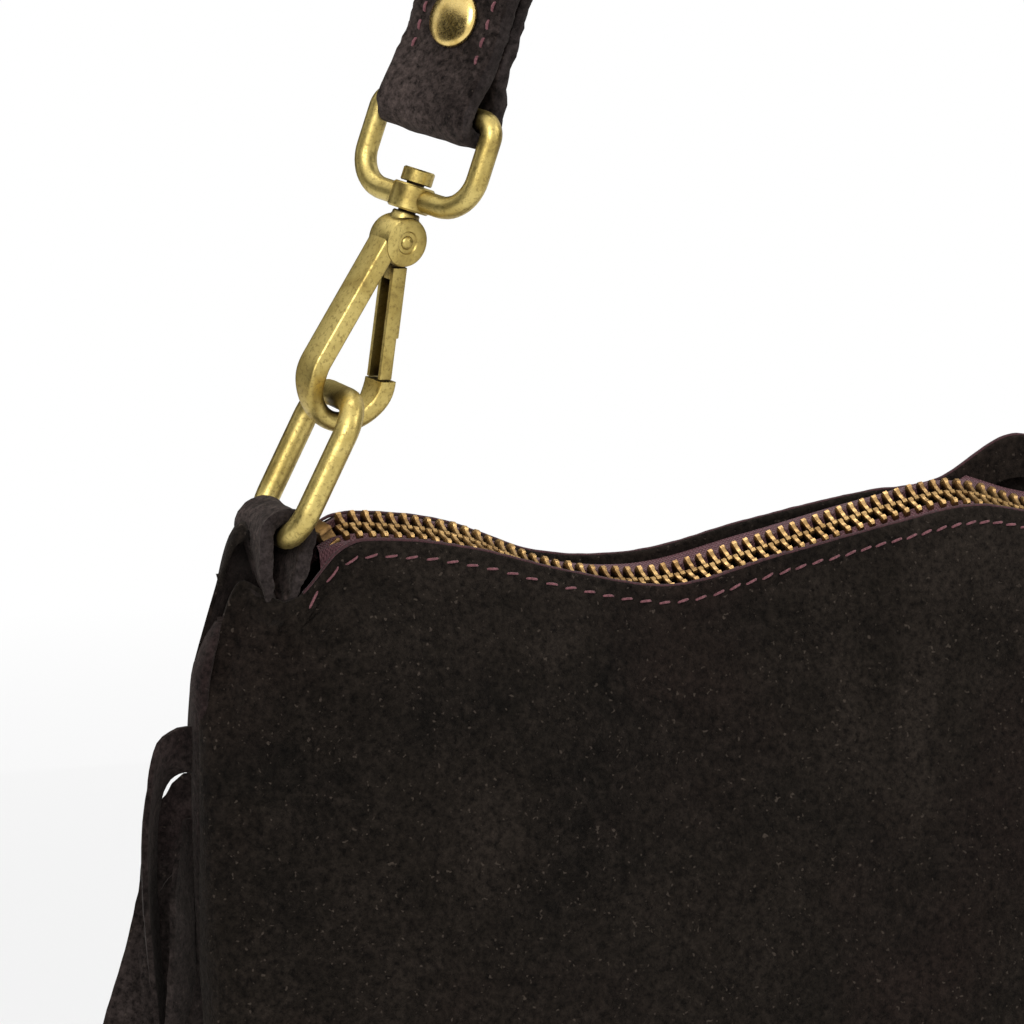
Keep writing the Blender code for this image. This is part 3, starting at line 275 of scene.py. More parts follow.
SUEDE = suede_finish(
    "dark_suede", (0.0040, 0.0032, 0.0025), (0.0070, 0.0053, 0.0040), (0.0140, 0.0106, 0.0083),
    (0.0110, 0.0066, 0.0054), rub=0.75,
)
SUEDE_TRIM = suede_finish(
    "trim_suede", (0.0075, 0.0053, 0.0046), (0.0185, 0.0134, 0.0120), (0.0480, 0.0355, 0.0320),
    (0.0290, 0.0165, 0.0155), 0.72, rub=0.9,
)
SUEDE_FRINGE = suede_finish(
    "fringe_suede", (0.0052, 0.0038, 0.0034), (0.0110, 0.0082, 0.0073), (0.0260, 0.0196, 0.0178),
    (0.0210, 0.0112, 0.0112), 0.72, rub=0.8,
)
CUT_EDGE = suede_finish(
    "cut_suede_edge", (0.0115, 0.0088, 0.0082), (0.0215, 0.0165, 0.0155), (0.0380, 0.0300, 0.0285),
    (0.0300, 0.0190, 0.0180), 0.75,
)
FLESH_SIDE = suede_finish(
    "suede_flesh_side", (0.0085, 0.0064, 0.0056), (0.0135, 0.0102, 0.0090), (0.0210, 0.0160, 0.0142),
    (0.0185, 0.0118, 0.0104), 0.74,
)
EDGE_PIPING = thread_finish("edge_piping_thread", (0.060, 0.018, 0.022), (0.022, 0.008, 0.009))
SEAM_THREAD = thread_finish("seam_thread", (0.200, 0.075, 0.085), (0.090, 0.030, 0.036))
TAPE = woven_finish("woven_zip_tape", (0.075, 0.028, 0.034), (0.150, 0.070, 0.078), 0.00062)
ANTIQUE = antique_brass_finish(
    "antique_brass", (0.610, 0.480, 0.165), (0.430, 0.320, 0.095), (0.170, 0.115, 0.040),
)
# The redder tone is the zip's own brass. Its lower level than the other brass is painted shade of teeth that
# sit in shadow.
SHADED_ZIP_BRASS = antique_brass_finish(
    "zip_brass", (0.560, 0.360, 0.150), (0.330, 0.195, 0.075), (0.100, 0.052, 0.026), 0.32,
)
BRIGHT = polished_brass_finish("bright_brass")


# Ways of making pieces
def clear_choice():
    bpy.ops.object.select_all(action="DESELECT")


def choose(obj):
    clear_choice()
    obj.select_set(True)
    bpy.context.view_layer.objects.active = obj


def smooth_outward(obj, angle=math.radians(40)):
    """Merge doubles, face every side outwards and shade smooth up to an angle."""
    choose(obj)
    bpy.ops.object.mode_set(mode="EDIT")
    bpy.ops.mesh.select_all(action="SELECT")
    bpy.ops.mesh.remove_doubles(threshold=1e-7)
    bpy.ops.mesh.normals_make_consistent(inside=False)
    bpy.ops.object.mode_set(mode="OBJECT")
    bpy.ops.object.shade_smooth_by_angle(angle=angle)
    return obj


def reach_of(points):
    """The length of a line of points in millimetres, as metres."""
    return sum((b - a).length for a, b in zip(points, points[1:])) * MM


def middles(sections):
    return [sum(section, Vector()) / len(section) for section in sections]


def settle(obj, name, body, slot, *materials, nodes=()):
    """Name a finished piece, put its place in its mesh, and hand it to its body."""
    obj.name = name
    obj.data.name = name
    choose(obj)
    bpy.ops.object.transform_apply(location=True, rotation=True, scale=True)
    if materials:
        obj.data.materials.clear()
        for material in materials:
            obj.data.materials.append(material)
    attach(obj, body)
    if nodes:
        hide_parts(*nodes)
    return obj


def half_turned(obj, name, body, slot, nodes=()):
    """The same piece at the right end, turned half round about the part's Z axis."""
    data = obj.data.copy()
    data.transform(HALF_TURN)
    data.name = name
    twin = in_scene(name, data)
    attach(twin, body)
    if nodes:
        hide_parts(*nodes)
    return twin


def in_scene(name, mesh):
    obj = bpy.data.objects.new(name, mesh)
    bpy.context.scene.collection.objects.link(obj)
    return obj


def new_piece(name, verts, faces, edges=()):
    """A mesh object from points in millimetres."""
    mesh = bpy.data.meshes.new(name)
    mesh.from_pydata([Vector(v) * MM for v in verts], edges, faces)
    return in_scene(name, mesh)


def add_tube(verts, faces, rows):
    """Add a closed tube through rows of equally many points to a piece's lists."""
    first, n = len(verts), len(rows[0])
    for row in rows:
        verts += row
    for i in range(len(rows) - 1):
        a, b = first + i * n, first + (i + 1) * n
        faces += [(a + j, a + (j + 1) % n, b + (j + 1) % n, b + j) for j in range(n)]
    faces.append(tuple(first + j for j in reversed(range(n))))
    faces.append(tuple(first + (len(rows) - 1) * n + j for j in range(n)))


def add_uv(obj, corner_uv):
    """A UV map in metres, from a (u, v) for each loop."""
    layer = obj.data.uv_layers.new(name="cloth")
    flat = np.array(corner_uv, np.float32).ravel() * MM
    layer.data.foreach_set("uv", flat)


def loft(name, sections, closed=False):
    """A skin through sections of equally many points, with its lengths as UV."""
    count, n = len(sections), len(sections[0])
    verts = [p for section in sections for p in section]
    faces, uv = [], []
    along = [0.0]
    for a, b in zip(sections, sections[1:] + sections[:1]):
        middle_a = sum((Vector(p) for p in a), Vector()) / n
        middle_b = sum((Vector(p) for p in b), Vector()) / n
        along.append(along[-1] + (middle_b - middle_a).length)
    round_ = [0.0]
    widest = sections[count // 2]
    for j in range(n):
        round_.append(round_[-1] + (Vector(widest[(j + 1) % n]) - Vector(widest[j])).length)
    for i in range(count if closed else count - 1):
        a, b = i * n, ((i + 1) % count) * n
        for j in range(n):
            k = (j + 1) % n
            faces.append((a + j, a + k, b + k, b + j))
            uv += [
                (along[i], round_[j]), (along[i], round_[j + 1]),
                (along[i + 1], round_[j + 1]), (along[i + 1], round_[j]),
            ]
    if not closed:
        first, last = tuple(reversed(range(n))), tuple(range((count - 1) * n, count * n))
        faces += [first, last]
        uv += [(along[0], round_[j]) for j in first]
        uv += [(along[-1], round_[j - (count - 1) * n]) for j in last]
    obj = new_piece(name, verts, faces)
    add_uv(obj, uv)
    return obj


def turned(name, profile, place, steps=48):
    """A piece turned about its axis from (radius, height) points in millimetres."""
    edges = [(i, i + 1) for i in range(len(profile) - 1)]
    obj = new_piece(name, [(r, 0, h) for r, h in profile], [], edges)
    choose(obj)
    bpy.ops.object.mode_set(mode="EDIT")
    bpy.ops.mesh.select_all(action="SELECT")
    bpy.ops.mesh.spin(steps=steps, angle=2 * math.pi, center=(0, 0, 0), axis=(0, 0, 1))
    bpy.ops.object.mode_set(mode="OBJECT")
    obj.data.transform(in_metres(place))
    return smooth_outward(obj)


def in_metres(matrix):
    moved = matrix.copy()
    moved.translation = matrix.translation * MM
    return moved


def bent_wire(name, width, height, upper, lower, wire, place):
    """Round wire bent to a rounded rectangle in the XZ plane, its lower side on the origin."""
    clear_choice()
    bpy.ops.mesh.primitive_plane_add(size=1, rotation=(math.pi / 2, 0, 0))
    obj = bpy.context.object
    obj.name = name
    bpy.ops.object.transform_apply(location=False, rotation=True, scale=False)
    obj.data.transform(Matrix.Diagonal((width * MM, 1, height * MM, 1)))
    obj.data.transform(Matrix.Translation((0, 0, height / 2 * MM)))
    bpy.ops.object.mode_set(mode="EDIT")
    for radius, high in ((upper, True), (lower, False)):
        bpy.ops.mesh.select_all(action="DESELECT")
        bpy.ops.mesh.select_mode(type="VERT")
        bm = bmesh.from_edit_mesh(obj.data)
        for vert in bm.verts:
            at_corner = abs(abs(vert.co.x) - width / 2 * MM) < 1e-6
            at_end = abs(vert.co.z - (height * MM if high else 0)) < 1e-6
            vert.select = at_corner and at_end
        bm.select_flush_mode()
        bmesh.update_edit_mesh(obj.data)
        bpy.ops.mesh.bevel(offset=radius * MM, segments=12, affect="VERTICES", profile=0.5)
    bpy.ops.mesh.select_all(action="SELECT")
    bpy.ops.mesh.delete(type="ONLY_FACE")
    bpy.ops.object.mode_set(mode="OBJECT")
    bpy.ops.object.convert(target="CURVE")
    curve = bpy.context.object
    curve.data.bevel_depth = wire / 2 * MM
    curve.data.bevel_resolution = 8
    bpy.ops.object.convert(target="MESH")
    obj = bpy.context.object
    obj.data.transform(in_metres(place))
    return smooth_outward(obj, math.radians(60))


def join(first, *others):
    clear_choice()
    for obj in others:
        obj.select_set(True)
    first.select_set(True)
    bpy.context.view_layer.objects.active = first
    bpy.ops.object.join()
    return first


def cut(obj, *tools):
    """Take shapes out of a piece."""
    for tool in tools:
        choose(obj)
        modifier = obj.modifiers.new("cut", "BOOLEAN")
        modifier.operation = "DIFFERENCE"
        modifier.object = tool
        modifier.solver = "EXACT"
        bpy.ops.object.modifier_apply(modifier="cut")
        bpy.data.objects.remove(tool, do_unlink=True)
    return obj


def block(low, high, place=Matrix()):
    """A box between two corners, in millimetres."""
    clear_choice()
    middle = (Vector(low) + Vector(high)) / 2
    bpy.ops.mesh.primitive_cube_add(size=1)
    obj = bpy.context.object
    size = Matrix.Diagonal((*((Vector(high) - Vector(low)) * MM), 1))
    obj.data.transform(in_metres(place) @ Matrix.Translation(middle * MM) @ size)
    return obj


def round_edges(obj, width, segments=2, angle=math.radians(30)):
    choose(obj)
    modifier = obj.modifiers.new("rounded", "BEVEL")
    modifier.width = width * MM
    modifier.segments = segments
    modifier.limit_method = "ANGLE"
    modifier.angle_limit = angle
    modifier.harden_normals = False
    bpy.ops.object.modifier_apply(modifier="rounded")
    return obj


def rounded_section(width, depth, radius, arc=3):
    """Points of a rectangle with round corners, anticlockwise."""
    points = []
    for sx, sy, start in ((1, 1, 0), (-1, 1, 90), (-1, -1, 180), (1, -1, 270)):
        cx, cy = sx * (width / 2 - radius), sy * (depth / 2 - radius)
        for step in range(arc + 1):
            angle = math.radians(start + 90 * step / arc)
            points.append((cx + radius * math.cos(angle), cy + radius * math.sin(angle)))
    return points


def laid(origin, across, through, outline):
    return [origin + across * a + through * b for a, b in outline]


def ease(t):
    t = min(max(t, 0.0), 1.0)
    return t * t * (3 - 2 * t)


def hill(t):
    """A smooth bump, 1 at 0 and 0 past 1."""
    t = abs(t)
    return (1 - t * t) ** 2 if t < 1 else 0.0


def rough(point, size, seed=0.0):
    """Even noise from -1 to 1, with features of this size in millimetres."""
    return noise.noise(Vector(point) / size + Vector((seed, seed * 1.7, -seed)))


# Hardware
def hook_tangent(q, side):
    to_head = Vector((q - BEND_Q, HEAD_P - BEND_RADIUS))
    spread = math.acos(BEND_RADIUS / to_head.length)
    return math.atan2(to_head.y, to_head.x) - side * spread


def bend_point(angle):
    return Vector((BEND_Q + BEND_RADIUS * math.cos(angle), 0, BEND_RADIUS * (1 + math.sin(angle))))


def make_hook():
    """Cast body: bevelled bar from the head round the bend to the nose, slotted head, neck, stud."""
    start, end = hook_tangent(SPINE_Q, -1), hook_tangent(0, 1) + 2 * math.pi
    top = Vector((SPINE_Q, 0, HEAD_P))
    low = bend_point(start)
    path = [top.lerp(low, t / 8) for t in range(8)]
    headings = [(low - top).normalized()] * 8
    steps = 48
    for i in range(steps + 1):
        angle = start + (end - start) * i / steps
        path.append(bend_point(angle))
        headings.append(Vector((-math.sin(angle), 0, math.cos(angle))))
    y = Vector((0, 1, 0))
    sections = []
    for point, along in zip(path, headings):
        low_share = ease(1 - point.z / BEND_RADIUS)
        depth = HOOK_DEPTH - 1.2 * low_share
        corner = 0.55 + 1.0 * low_share
        outline = rounded_section(HOOK_WIRE, depth, corner, 4)
        sections.append(laid(point, y.cross(along), y, outline))
    bar = smooth_outward(loft("hook_bar", sections), math.radians(50))
    head = Vector((0, 0, HEAD_P))
    turn = Matrix.Translation(head) @ Matrix.Rotation(-math.pi / 2, 4, "X")
    cheek = 2.8
    disc = [
        (0, -cheek + 0.22), (1.75, -cheek + 0.22), (1.95, -cheek), (HEAD_RADIUS - 0.55, -cheek),
        (HEAD_RADIUS - 0.16, -cheek + 0.16), (HEAD_RADIUS, -cheek + 0.55),
        (HEAD_RADIUS, cheek - 0.55), (HEAD_RADIUS - 0.16, cheek - 0.16), (HEAD_RADIUS - 0.55, cheek),
        (1.95, cheek), (1.75, cheek - 0.22), (0, cheek - 0.22),
    ]
    head_piece = turned("hook_head", disc, turn, 56)
    nose = bend_point(end)
    line = (nose - head).normalized()
    slot_turn = Matrix((y.cross(line), y, line)).transposed().to_4x4()
    slot_turn.translation = head
    slot = block((-3.4, -1.35, -1.0), (3.4, 1.35, 7.0), slot_turn)
    head_piece = smooth_outward(cut(head_piece, slot), math.radians(30))
    neck_low, neck_high = HEAD_P + 3.2, LOOP_BAR_P - 2.45
    stud_low, stud_high = LOOP_BAR_P + 2.45, LOOP_BAR_P + 4.85
    stud = turned("hook_stud", [
        (0, neck_low), (2.5, neck_low), (2.5, neck_low + 0.6), (2.3, neck_low + 1.0),
        (2.3, neck_high - 0.25), (2.1, neck_high), (1.5, neck_high), (1.5, stud_low),
        (2.5, stud_low), (2.65, stud_low + 0.15), (2.65, stud_high - 0.3), (2.4, stud_high - 0.05),
        (1.5, stud_high - 0.05), (1.2, stud_high - 0.35), (0, stud_high - 0.35),
    ], Matrix(), 40)
    hook = join(bar, head_piece, stud)
    hook.data.transform(in_metres(HOOK))
    return hook


def make_gate():
    """Pressed gate: sleeve with a step near its foot, and the steel tongue on the pin."""
    end = hook_tangent(0, 1)
    head = Vector((0, 0, HEAD_P))
    nose = bend_point(end)
    along = (nose - head).normalized()
    length = (nose - head).length
    y = Vector((0, 1, 0))
    inward = y.cross(along)
    if inward.x > 0:
        inward = -inward
    b, groove, floor = 1.85, 1.2, -0.4

    def channel(outer):
        r, reach = 0.75, 1.5
        return [
            (outer, -b + r), (outer + r * 0.3, -b + r * 0.3), (outer + r, -b), (reach, -b),
            (reach, -groove), (floor, -groove), (floor, groove), (reach, groove),
            (reach, b), (outer + r, b), (outer + r * 0.3, b - r * 0.3), (outer, b - r),
        ]

    step_at = length - 7.2
    stations = [(4.4, -1.6), (step_at, -1.6), (step_at + 0.12, -1.2), (length - 0.3, -1.2)]
    sections = [laid(head + along * place, inward, y, channel(outer)) for place, outer in stations]
    sleeve = smooth_outward(loft("gate_sleeve", sections), math.radians(25))
    tongue_turn = Matrix((y.cross(along), y, along)).transposed().to_4x4()
    tongue_turn.translation = head
    tongue = round_edges(block((-1.3, -1.05, 0), (1.3, 1.05, 6.5), tongue_turn), 0.2)
    turn = Matrix.Translation(head) @ Matrix.Rotation(-math.pi / 2, 4, "X")
    rim = [(0, -1.05), (2.3, -1.05), (2.5, -0.85), (2.5, 0.85), (2.3, 1.05), (0, 1.05)]
    knuckle = turned("gate_knuckle", rim, turn, 40)
    gate = join(sleeve, smooth_outward(tongue, math.radians(30)), knuckle)
    gate.data.transform(in_metres(HOOK))
    return gate


def make_pin():
    head = Vector((0, 0, HEAD_P))
    turn = Matrix.Translation(head) @ Matrix.Rotation(-math.pi / 2, 4, "X")
    profile = [
        (0, -3.15), (0.45, -3.10), (0.85, -2.95), (1.10, -2.70), (1.15, -2.50), (1.0, -2.45), (1.0, 2.45),
        (1.15, 2.50), (1.10, 2.70), (0.85, 2.95), (0.45, 3.10), (0, 3.15),
    ]
    pin = turned("gate_pin", profile, turn, 32)
    pin.data.transform(in_metres(HOOK))
    return pin


def make_loop():
    """Round wire with upper corners kept close to the strap, and the boss that takes the stud."""
    place = LEFT @ Matrix.Translation((0, 0, LOOP_BAR_P))
    place = place @ Matrix.Rotation(STRAP_TURN - math.pi / 2, 4, "Z")
    wire = bent_wire("swivel_loop", LOOP_WIDTH, LOOP_HEIGHT, 2.6, 6.0, LOOP_WIRE, place)
    boss = turned("loop_boss", [
        (1.8, -2.15), (3.2, -2.15), (3.5, -1.85), (3.5, 1.85), (3.2, 2.15), (1.8, 2.15), (1.8, -2.15),
    ], place, 48)
    return join(wire, boss)


def make_rivet():
    """Domed cap on the outer face, and its base on the inner one."""
    through = LEFT @ Matrix.Translation((0, 0, RIVET_P)) @ Matrix.Rotation(STRAP_TURN, 4, "Z")
    through = through @ Matrix.Rotation(-math.pi / 2, 4, "Y")
    seat = STRAP_THICKNESS + LAYER_GAP / 2 + LAYER_GAP
    rim, dome = 4.85, 1.45
    cap = [(0, -seat), (1.5, -seat), (1.5, seat), (4.5, seat), (rim, seat + 0.2), (rim, seat + 0.45)]
    for i in range(8):
        angle = math.pi / 2 * (8 - i) / 9
        cap.append((rim * math.sin(angle), seat + 0.45 + dome * math.cos(angle)))
    cap.append((0, seat + 0.45 + dome))
    base = [
        (0, -seat - 0.9), (1.2, -seat - 0.9), (1.5, -seat - 1.3), (2.6, -seat - 1.35), (3.6, -seat - 0.9),
        (4.0, -seat - 0.4), (4.0, -seat), (0, -seat),
    ]
    return turned("rivet_cap", cap, through, 64), turned("rivet_base", base, through, 48)


def ring_place():
    top = LEFT @ Vector((BEND_Q, 0, HOOK_WIRE / 2 + RING_PLAY + RING_WIRE / 2))
    return top - Vector((math.sin(RING_LEAN), 0, math.cos(RING_LEAN))) * RING_LENGTH


def make_ring():
    place = Matrix.Translation(ring_place()) @ Matrix.Rotation(RING_LEAN, 4, "Y")
    place = place @ Matrix.Rotation(math.pi / 2, 4, "Z")
    return bent_wire("oval_ring", RING_WIDTH, RING_LENGTH, 5.5, 5.5, RING_WIRE - 0.3, place)


def dress_hardware():
    cap, base = make_rivet()
    kinds = (
        (make_hook(), "hook", "hook_body", "antique_brass", ANTIQUE),
        (make_gate(), "gate", "gate_body", "antique_brass", ANTIQUE),
        (make_pin(), "gate_pin", "hook_body", "antique_brass", ANTIQUE),
        (make_loop(), "loop", None, "antique_brass", ANTIQUE),
        (cap, "rivet_cap", None, "bright_brass", BRIGHT),
        (base, "rivet_base", None, "bright_brass", BRIGHT),
        (make_ring(), "ring", "ring_body", "antique_brass", ANTIQUE),
    )
    for obj, kind, body, slot, material in kinds:
        left_body = f"left_{body}" if body else "strap_body"
        right_body = f"right_{body}" if body else "strap_body"
        settle(obj, f"left_{kind}_fine", left_body, slot, material, nodes=(f"left_{kind}",))
        half_turned(obj, f"right_{kind}_fine", right_body, slot, (f"right_{kind}",))


# Strap
LAYER_OFFSET = (STRAP_THICKNESS + LAYER_GAP) / 2
AXIS_RADIUS = APEX_RADIUS - LAYER_GAP / 2
LEG_LENGTH = (CONTACT_HALF_SPAN - AXIS_RADIUS * math.cos(PULL_ANGLE)) / math.sin(PULL_ANGLE)
APEX_Z = -LAYER_GAP / 2 - AXIS_RADIUS


def strap_turn_at(p):
    flat = STRAP_BAR_P + FLAP_LENGTH
    return STRAP_TURN * (1 - ease((p - flat) / (LEG_LENGTH - flat)))


def strap_outline():
    """Cross-section of a strip with soft faces and rough cut edges."""
    w, t = STRAP_WIDTH / 2, STRAP_THICKNESS / 2
    face = [(-w + 0.5 + (2 * w - 1.0) * i / 12, -t - 0.12 * hill((i - 6) / 7)) for i in range(13)]
    edge = [(w - 0.05, -t * 0.55), (w, 0), (w - 0.05, t * 0.55)]
    return face + edge + [(-a, -b) for a, b in face] + [(-a, -b) for a, b in edge]


def ragged(section, along_mm, seed, cut_mm=0.42, face_mm=0.12):
    """Shift a section's points a little, most at the cut edges."""
    middle = sum(section, Vector()) / len(section)
    across = (section[12] - section[0]).normalized()
    through = across.cross((section[1] - section[0]).cross(across)).normalized()
    moved = []
    for i, point in enumerate(section):
        at = Vector((along_mm, 9.0 * i / len(section) * 4, seed))
        share = abs((point - middle).dot(across)) / (STRAP_WIDTH / 2)
        if share > 0.9:
            side = math.copysign(1, (point - middle).dot(across))
            point = point + across * side * cut_mm * (rough(at, 1.3) + 0.6 * rough(at, 4.0, 3.0))
        moved.append(point + through * face_mm * rough(at, 2.2, 5.0) * 2)
    return moved


def strap_half():
    """Sections from the end of the flap, round the loop's bar and up the leg to the apex."""
    turned_axes = LEFT.to_3x3() @ Matrix.Rotation(STRAP_TURN, 3, "Z")
    inwards, upwards, width_way = turned_axes.col[0], turned_axes.col[2], -turned_axes.col[1]
    bar = LEFT @ Vector((0, 0, STRAP_BAR_P))
    radius = LOOP_WIRE / 2 + LAYER_GAP + STRAP_THICKNESS / 2
    settle_at = 3 * radius
    step = 0.8
    flap_steps = int((FLAP_LENGTH - settle_at) / step)
    path = [(LAYER_OFFSET, FLAP_LENGTH - i * step) for i in range(flap_steps)]
    first = math.radians(20)
    touch = (radius * math.cos(first), radius * math.sin(first))
    for i in range(8):
        t = i / 8
        side = LAYER_OFFSET + (touch[0] - LAYER_OFFSET) * ease(t)
        path.append((side, settle_at + (touch[1] - settle_at) * t))
    for i in range(33):
        angle = first - math.radians(220) * i / 32
        path.append((radius * math.cos(angle), radius * math.sin(angle)))
    last = path[-1]
    for i in range(1, 9):
        t = i / 8
        side = last[0] + (-LAYER_OFFSET - last[0]) * ease(t)
        path.append((side, last[1] + (settle_at - last[1]) * t))
    path += [(-LAYER_OFFSET, settle_at + i * step) for i in range(1, flap_steps)]
    points = [bar + inwards * a + upwards * b for a, b in path]
    sections = []
    outline = strap_outline()
    for i, point in enumerate(points):
        along = (points[min(i + 1, len(points) - 1)] - points[max(i - 1, 0)]).normalized()
        sections.append(laid(point, width_way, along.cross(width_way), outline))
    start = STRAP_BAR_P + FLAP_LENGTH
    steps = int((LEG_LENGTH - start) / 1.2)
    for i in range(steps + 1):
        p = start + (LEG_LENGTH - start) * i / steps
        axes = LEFT.to_3x3() @ Matrix.Rotation(strap_turn_at(p), 3, "Z")
        centre = LEFT @ Vector((0, 0, p)) - axes.col[0] * LAYER_OFFSET
        sections.append(laid(centre, -axes.col[1], axes.col[2].cross(-axes.col[1]), outline))
    return sections


def dress_strap():
    left = strap_half()
    apex = []
    sweep = math.pi / 2 - PULL_ANGLE
    outline = strap_outline()
    steps = 110
    for i in range(1, steps):
        angle = PULL_ANGLE + 2 * sweep * i / steps
        outward = Vector((-math.cos(angle), 0, math.sin(angle)))
        centre = Vector((0, 0, APEX_Z)) + outward * (AXIS_RADIUS + LAYER_OFFSET)
        apex.append(laid(centre, Vector((0, -1, 0)), -outward, outline))
    right = []
    for section in reversed(left):
        moved = [HALF_TURN @ point for point in section]
        mirrored = [moved[(12 - j) % len(outline)] for j in range(len(outline))]
        right.append(mirrored)
    sections = left + apex + right
    length = 0.0
    done = []
    for i, section in enumerate(sections):
        if i:
            a = sum(sections[i - 1], Vector()) / len(section)
            b = sum(section, Vector()) / len(section)
            length += (b - a).length
        done.append(ragged(section, length, 11.0))
    strap = smooth_outward(loft("strap_suede", done), math.radians(60))
    settle(strap, "strap_suede", "strap_body", "suede", SUEDE_TRIM, CUT_EDGE, nodes=("strap",))
    mark_cut_edges(strap, len(outline), (12, 13, 14, 15, 28, 29, 30, 31))


def mark_cut_edges(obj, n, columns):
    """Give the faces of these columns of a lofted strip the second material."""
    slots = np.zeros(len(obj.data.polygons), np.int32)
    for polygon in obj.data.polygons:
        if polygon.index % n in columns and len(polygon.vertices) == 4:
            slots[polygon.index] = 1
    obj.data.polygons.foreach_set("material_index", slots)


# share of its length, height and thickness of a stitch
STITCH_SHAPE = ((0, -0.35, 0.4), (0.12, 0.35, 0.85), (0.5, 0.62, 1.0), (0.88, 0.35, 0.85), (1, -0.35, 0.4))


def stitch_points(start, end, sag, lift):
    """A short raised stitch between two points: centre line and half-thickness."""
    points = []
    for t, height, size in STITCH_SHAPE:
        points.append((start.lerp(end, t) + lift * height * sag, size))
    return points


def make_stitches(name, runs, thickness):
    """Many stitches as one piece. runs are (start, end, outward) in millimetres."""
    verts, faces = [], []
    for start, end, outward in runs:
        along = (end - start).normalized()
        lift = (outward - along * outward.dot(along)).normalized()
        across = along.cross(lift)
        turns = [2 * math.pi * j / 6 for j in range(6)]
        ring = [lift * math.sin(turn) * 0.42 + across * math.cos(turn) * 0.5 for turn in turns]
        rows = stitch_points(start, end, thickness, lift)
        add_tube(verts, faces, [[p + offset * thickness * size for offset in ring] for p, size in rows])
    return smooth_outward(new_piece(name, verts, faces), math.radians(80))


STITCH_LENGTH, STITCH_PITCH, STITCH_ROW = 1.9, 3.05, 7.1


def dress_strap_stitches():
    """Two rows on each face of each folded end, three millimetres in from the cut edges."""
    rnd = random.Random(7)
    axes = LEFT.to_3x3() @ Matrix.Rotation(STRAP_TURN, 3, "Z")
    face = 2 * LAYER_OFFSET - LAYER_GAP / 2 - 0.05
    runs = []
    for side in (-1, 1):
        for row in (-STITCH_ROW, STITCH_ROW):
            p = STRAP_BAR_P + 5.0
            while p < STRAP_BAR_P + FLAP_LENGTH - 3:
                jitter = rnd.uniform(-0.18, 0.18)
                over = axes.col[0] * side * face
                start = LEFT @ Vector((0, 0, p)) + axes.col[1] * (row + jitter) + over
                end = LEFT @ Vector((0, 0, p + STITCH_LENGTH)) + axes.col[1] * (row - jitter) + over
                runs.append((start, end, axes.col[0] * side))
                p += STITCH_PITCH
    stitches = make_stitches("left_strap_stitches", runs, 0.62)
    settle(stitches, "left_strap_stitches", "strap_body", "suede", SEAM_THREAD)
    half_turned(stitches, "right_strap_stitches", "strap_body", "suede")


# Bag body
def wave_at(x, column):
    knots = [(k[0], k[column]) for k in TOP_WAVE]
    x = min(max(x, knots[0][0]), knots[-1][0])
    i = max(n for n in range(len(knots) - 1) if x >= knots[n][0])

    def slope(n):
        before, after = knots[max(n - 1, 0)], knots[min(n + 1, len(knots) - 1)]
        return (after[1] - before[1]) / (after[0] - before[0])

    (x0, h0), (x1, h1) = knots[i], knots[i + 1]
    span = x1 - x0
    t = (x - x0) / span
    return (
        h0 * (1 + 2 * t) * (1 - t) ** 2 + slope(i) * span * t * (1 - t) ** 2
        + h1 * t * t * (3 - 2 * t) + slope(i + 1) * span * t * t * (t - 1)
    )


def zip_height(x):
    return wave_at(x, 1)


PINCH_X, PINCH_Z, PINCH_REACH = 130.0, 200.0, 75.0  # where each corner is gathered; its folds' reach
LUMP_X, LUMP_HALF_WIDTH, LUMP_HEIGHT = 134.5, 9.5, 8.5  # the back panel's corner, behind the tab
PANEL_FOOT = 2.6  # height of the panels' lower edge
WALL = 0.75  # thickness of the suede


def corner_puff(x, side):
    """How much the back panel's corner stands up behind the tab, from 0 to 1."""
    return hill((abs(x) - LUMP_X) / LUMP_HALF_WIDTH) if side > 0 else 0.0


def edge_height(x, side):
    height = zip_height(x) + wave_at(x, 2 if side < 0 else 3)
    end = min(abs(x), CORNER_HALF_WIDTH)
    if side < 0:
        return height - 6.0 * max(0, (end - LUMP_X) / 4.5) ** 2.4
    return height + LUMP_HEIGHT * corner_puff(x, side) - 3.6 * max(0, (end - 136) / 3) ** 2


def corner_close(x, v):
    """How far the two panels are drawn together at the ends of the open top, from 0 to 1."""
    return 0.9 * ease((abs(x) - 131.5) / 4.5) * ease((v - 0.90) / 0.07)


def half_width(v):
    lower = BASE_HALF_WIDTH + (BODY_HALF_WIDTH - BASE_HALF_WIDTH) * ease(v / 0.9)
    return lower + (CORNER_HALF_WIDTH - BODY_HALF_WIDTH) * max(0, 1 - (1 - v) / 0.055) ** 2


def half_depth(v):
    return TOP_HALF_DEPTH + (BASE_HALF_DEPTH - TOP_HALF_DEPTH) * (1 - v) ** 0.85


def side_profile(share):
    return (1 - min(abs(share), 1) ** BODY_SQUARENESS) ** (1 / BODY_SQUARENESS)


SEAM_HALF_GAP = 1.0


def folds(x, z, side):
    """How far the suede stands out from the panel, in millimetres: sag, folds and soft waves."""
    out = 0.75 * math.sin(x / 31 + 0.8) * math.sin(z / 43 + 1.1) + 0.5 * math.sin(x / 17 + z / 26)
    out += 0.9 * rough((x, z, 40 * side), 34)
    out += 0.35 * rough((x, z, 90 * side), 13)
    for corner in (-1, 1):
        u, w = corner * x - PINCH_X, z - PINCH_Z
        radius = math.hypot(u, w)
        if radius > PINCH_REACH:
            continue
        angle = math.atan2(-w, -u)
        fade = math.exp(-radius / 24) * min(1, radius / 4)
        out += 3.4 * fade * math.cos(3.0 * (angle - 0.55))
        out -= 2.6 * math.exp(-(radius / 5.5) ** 2)
        out += 1.5 * hill((u - 8) / 12) * hill((w + 9) / 13)
    return out


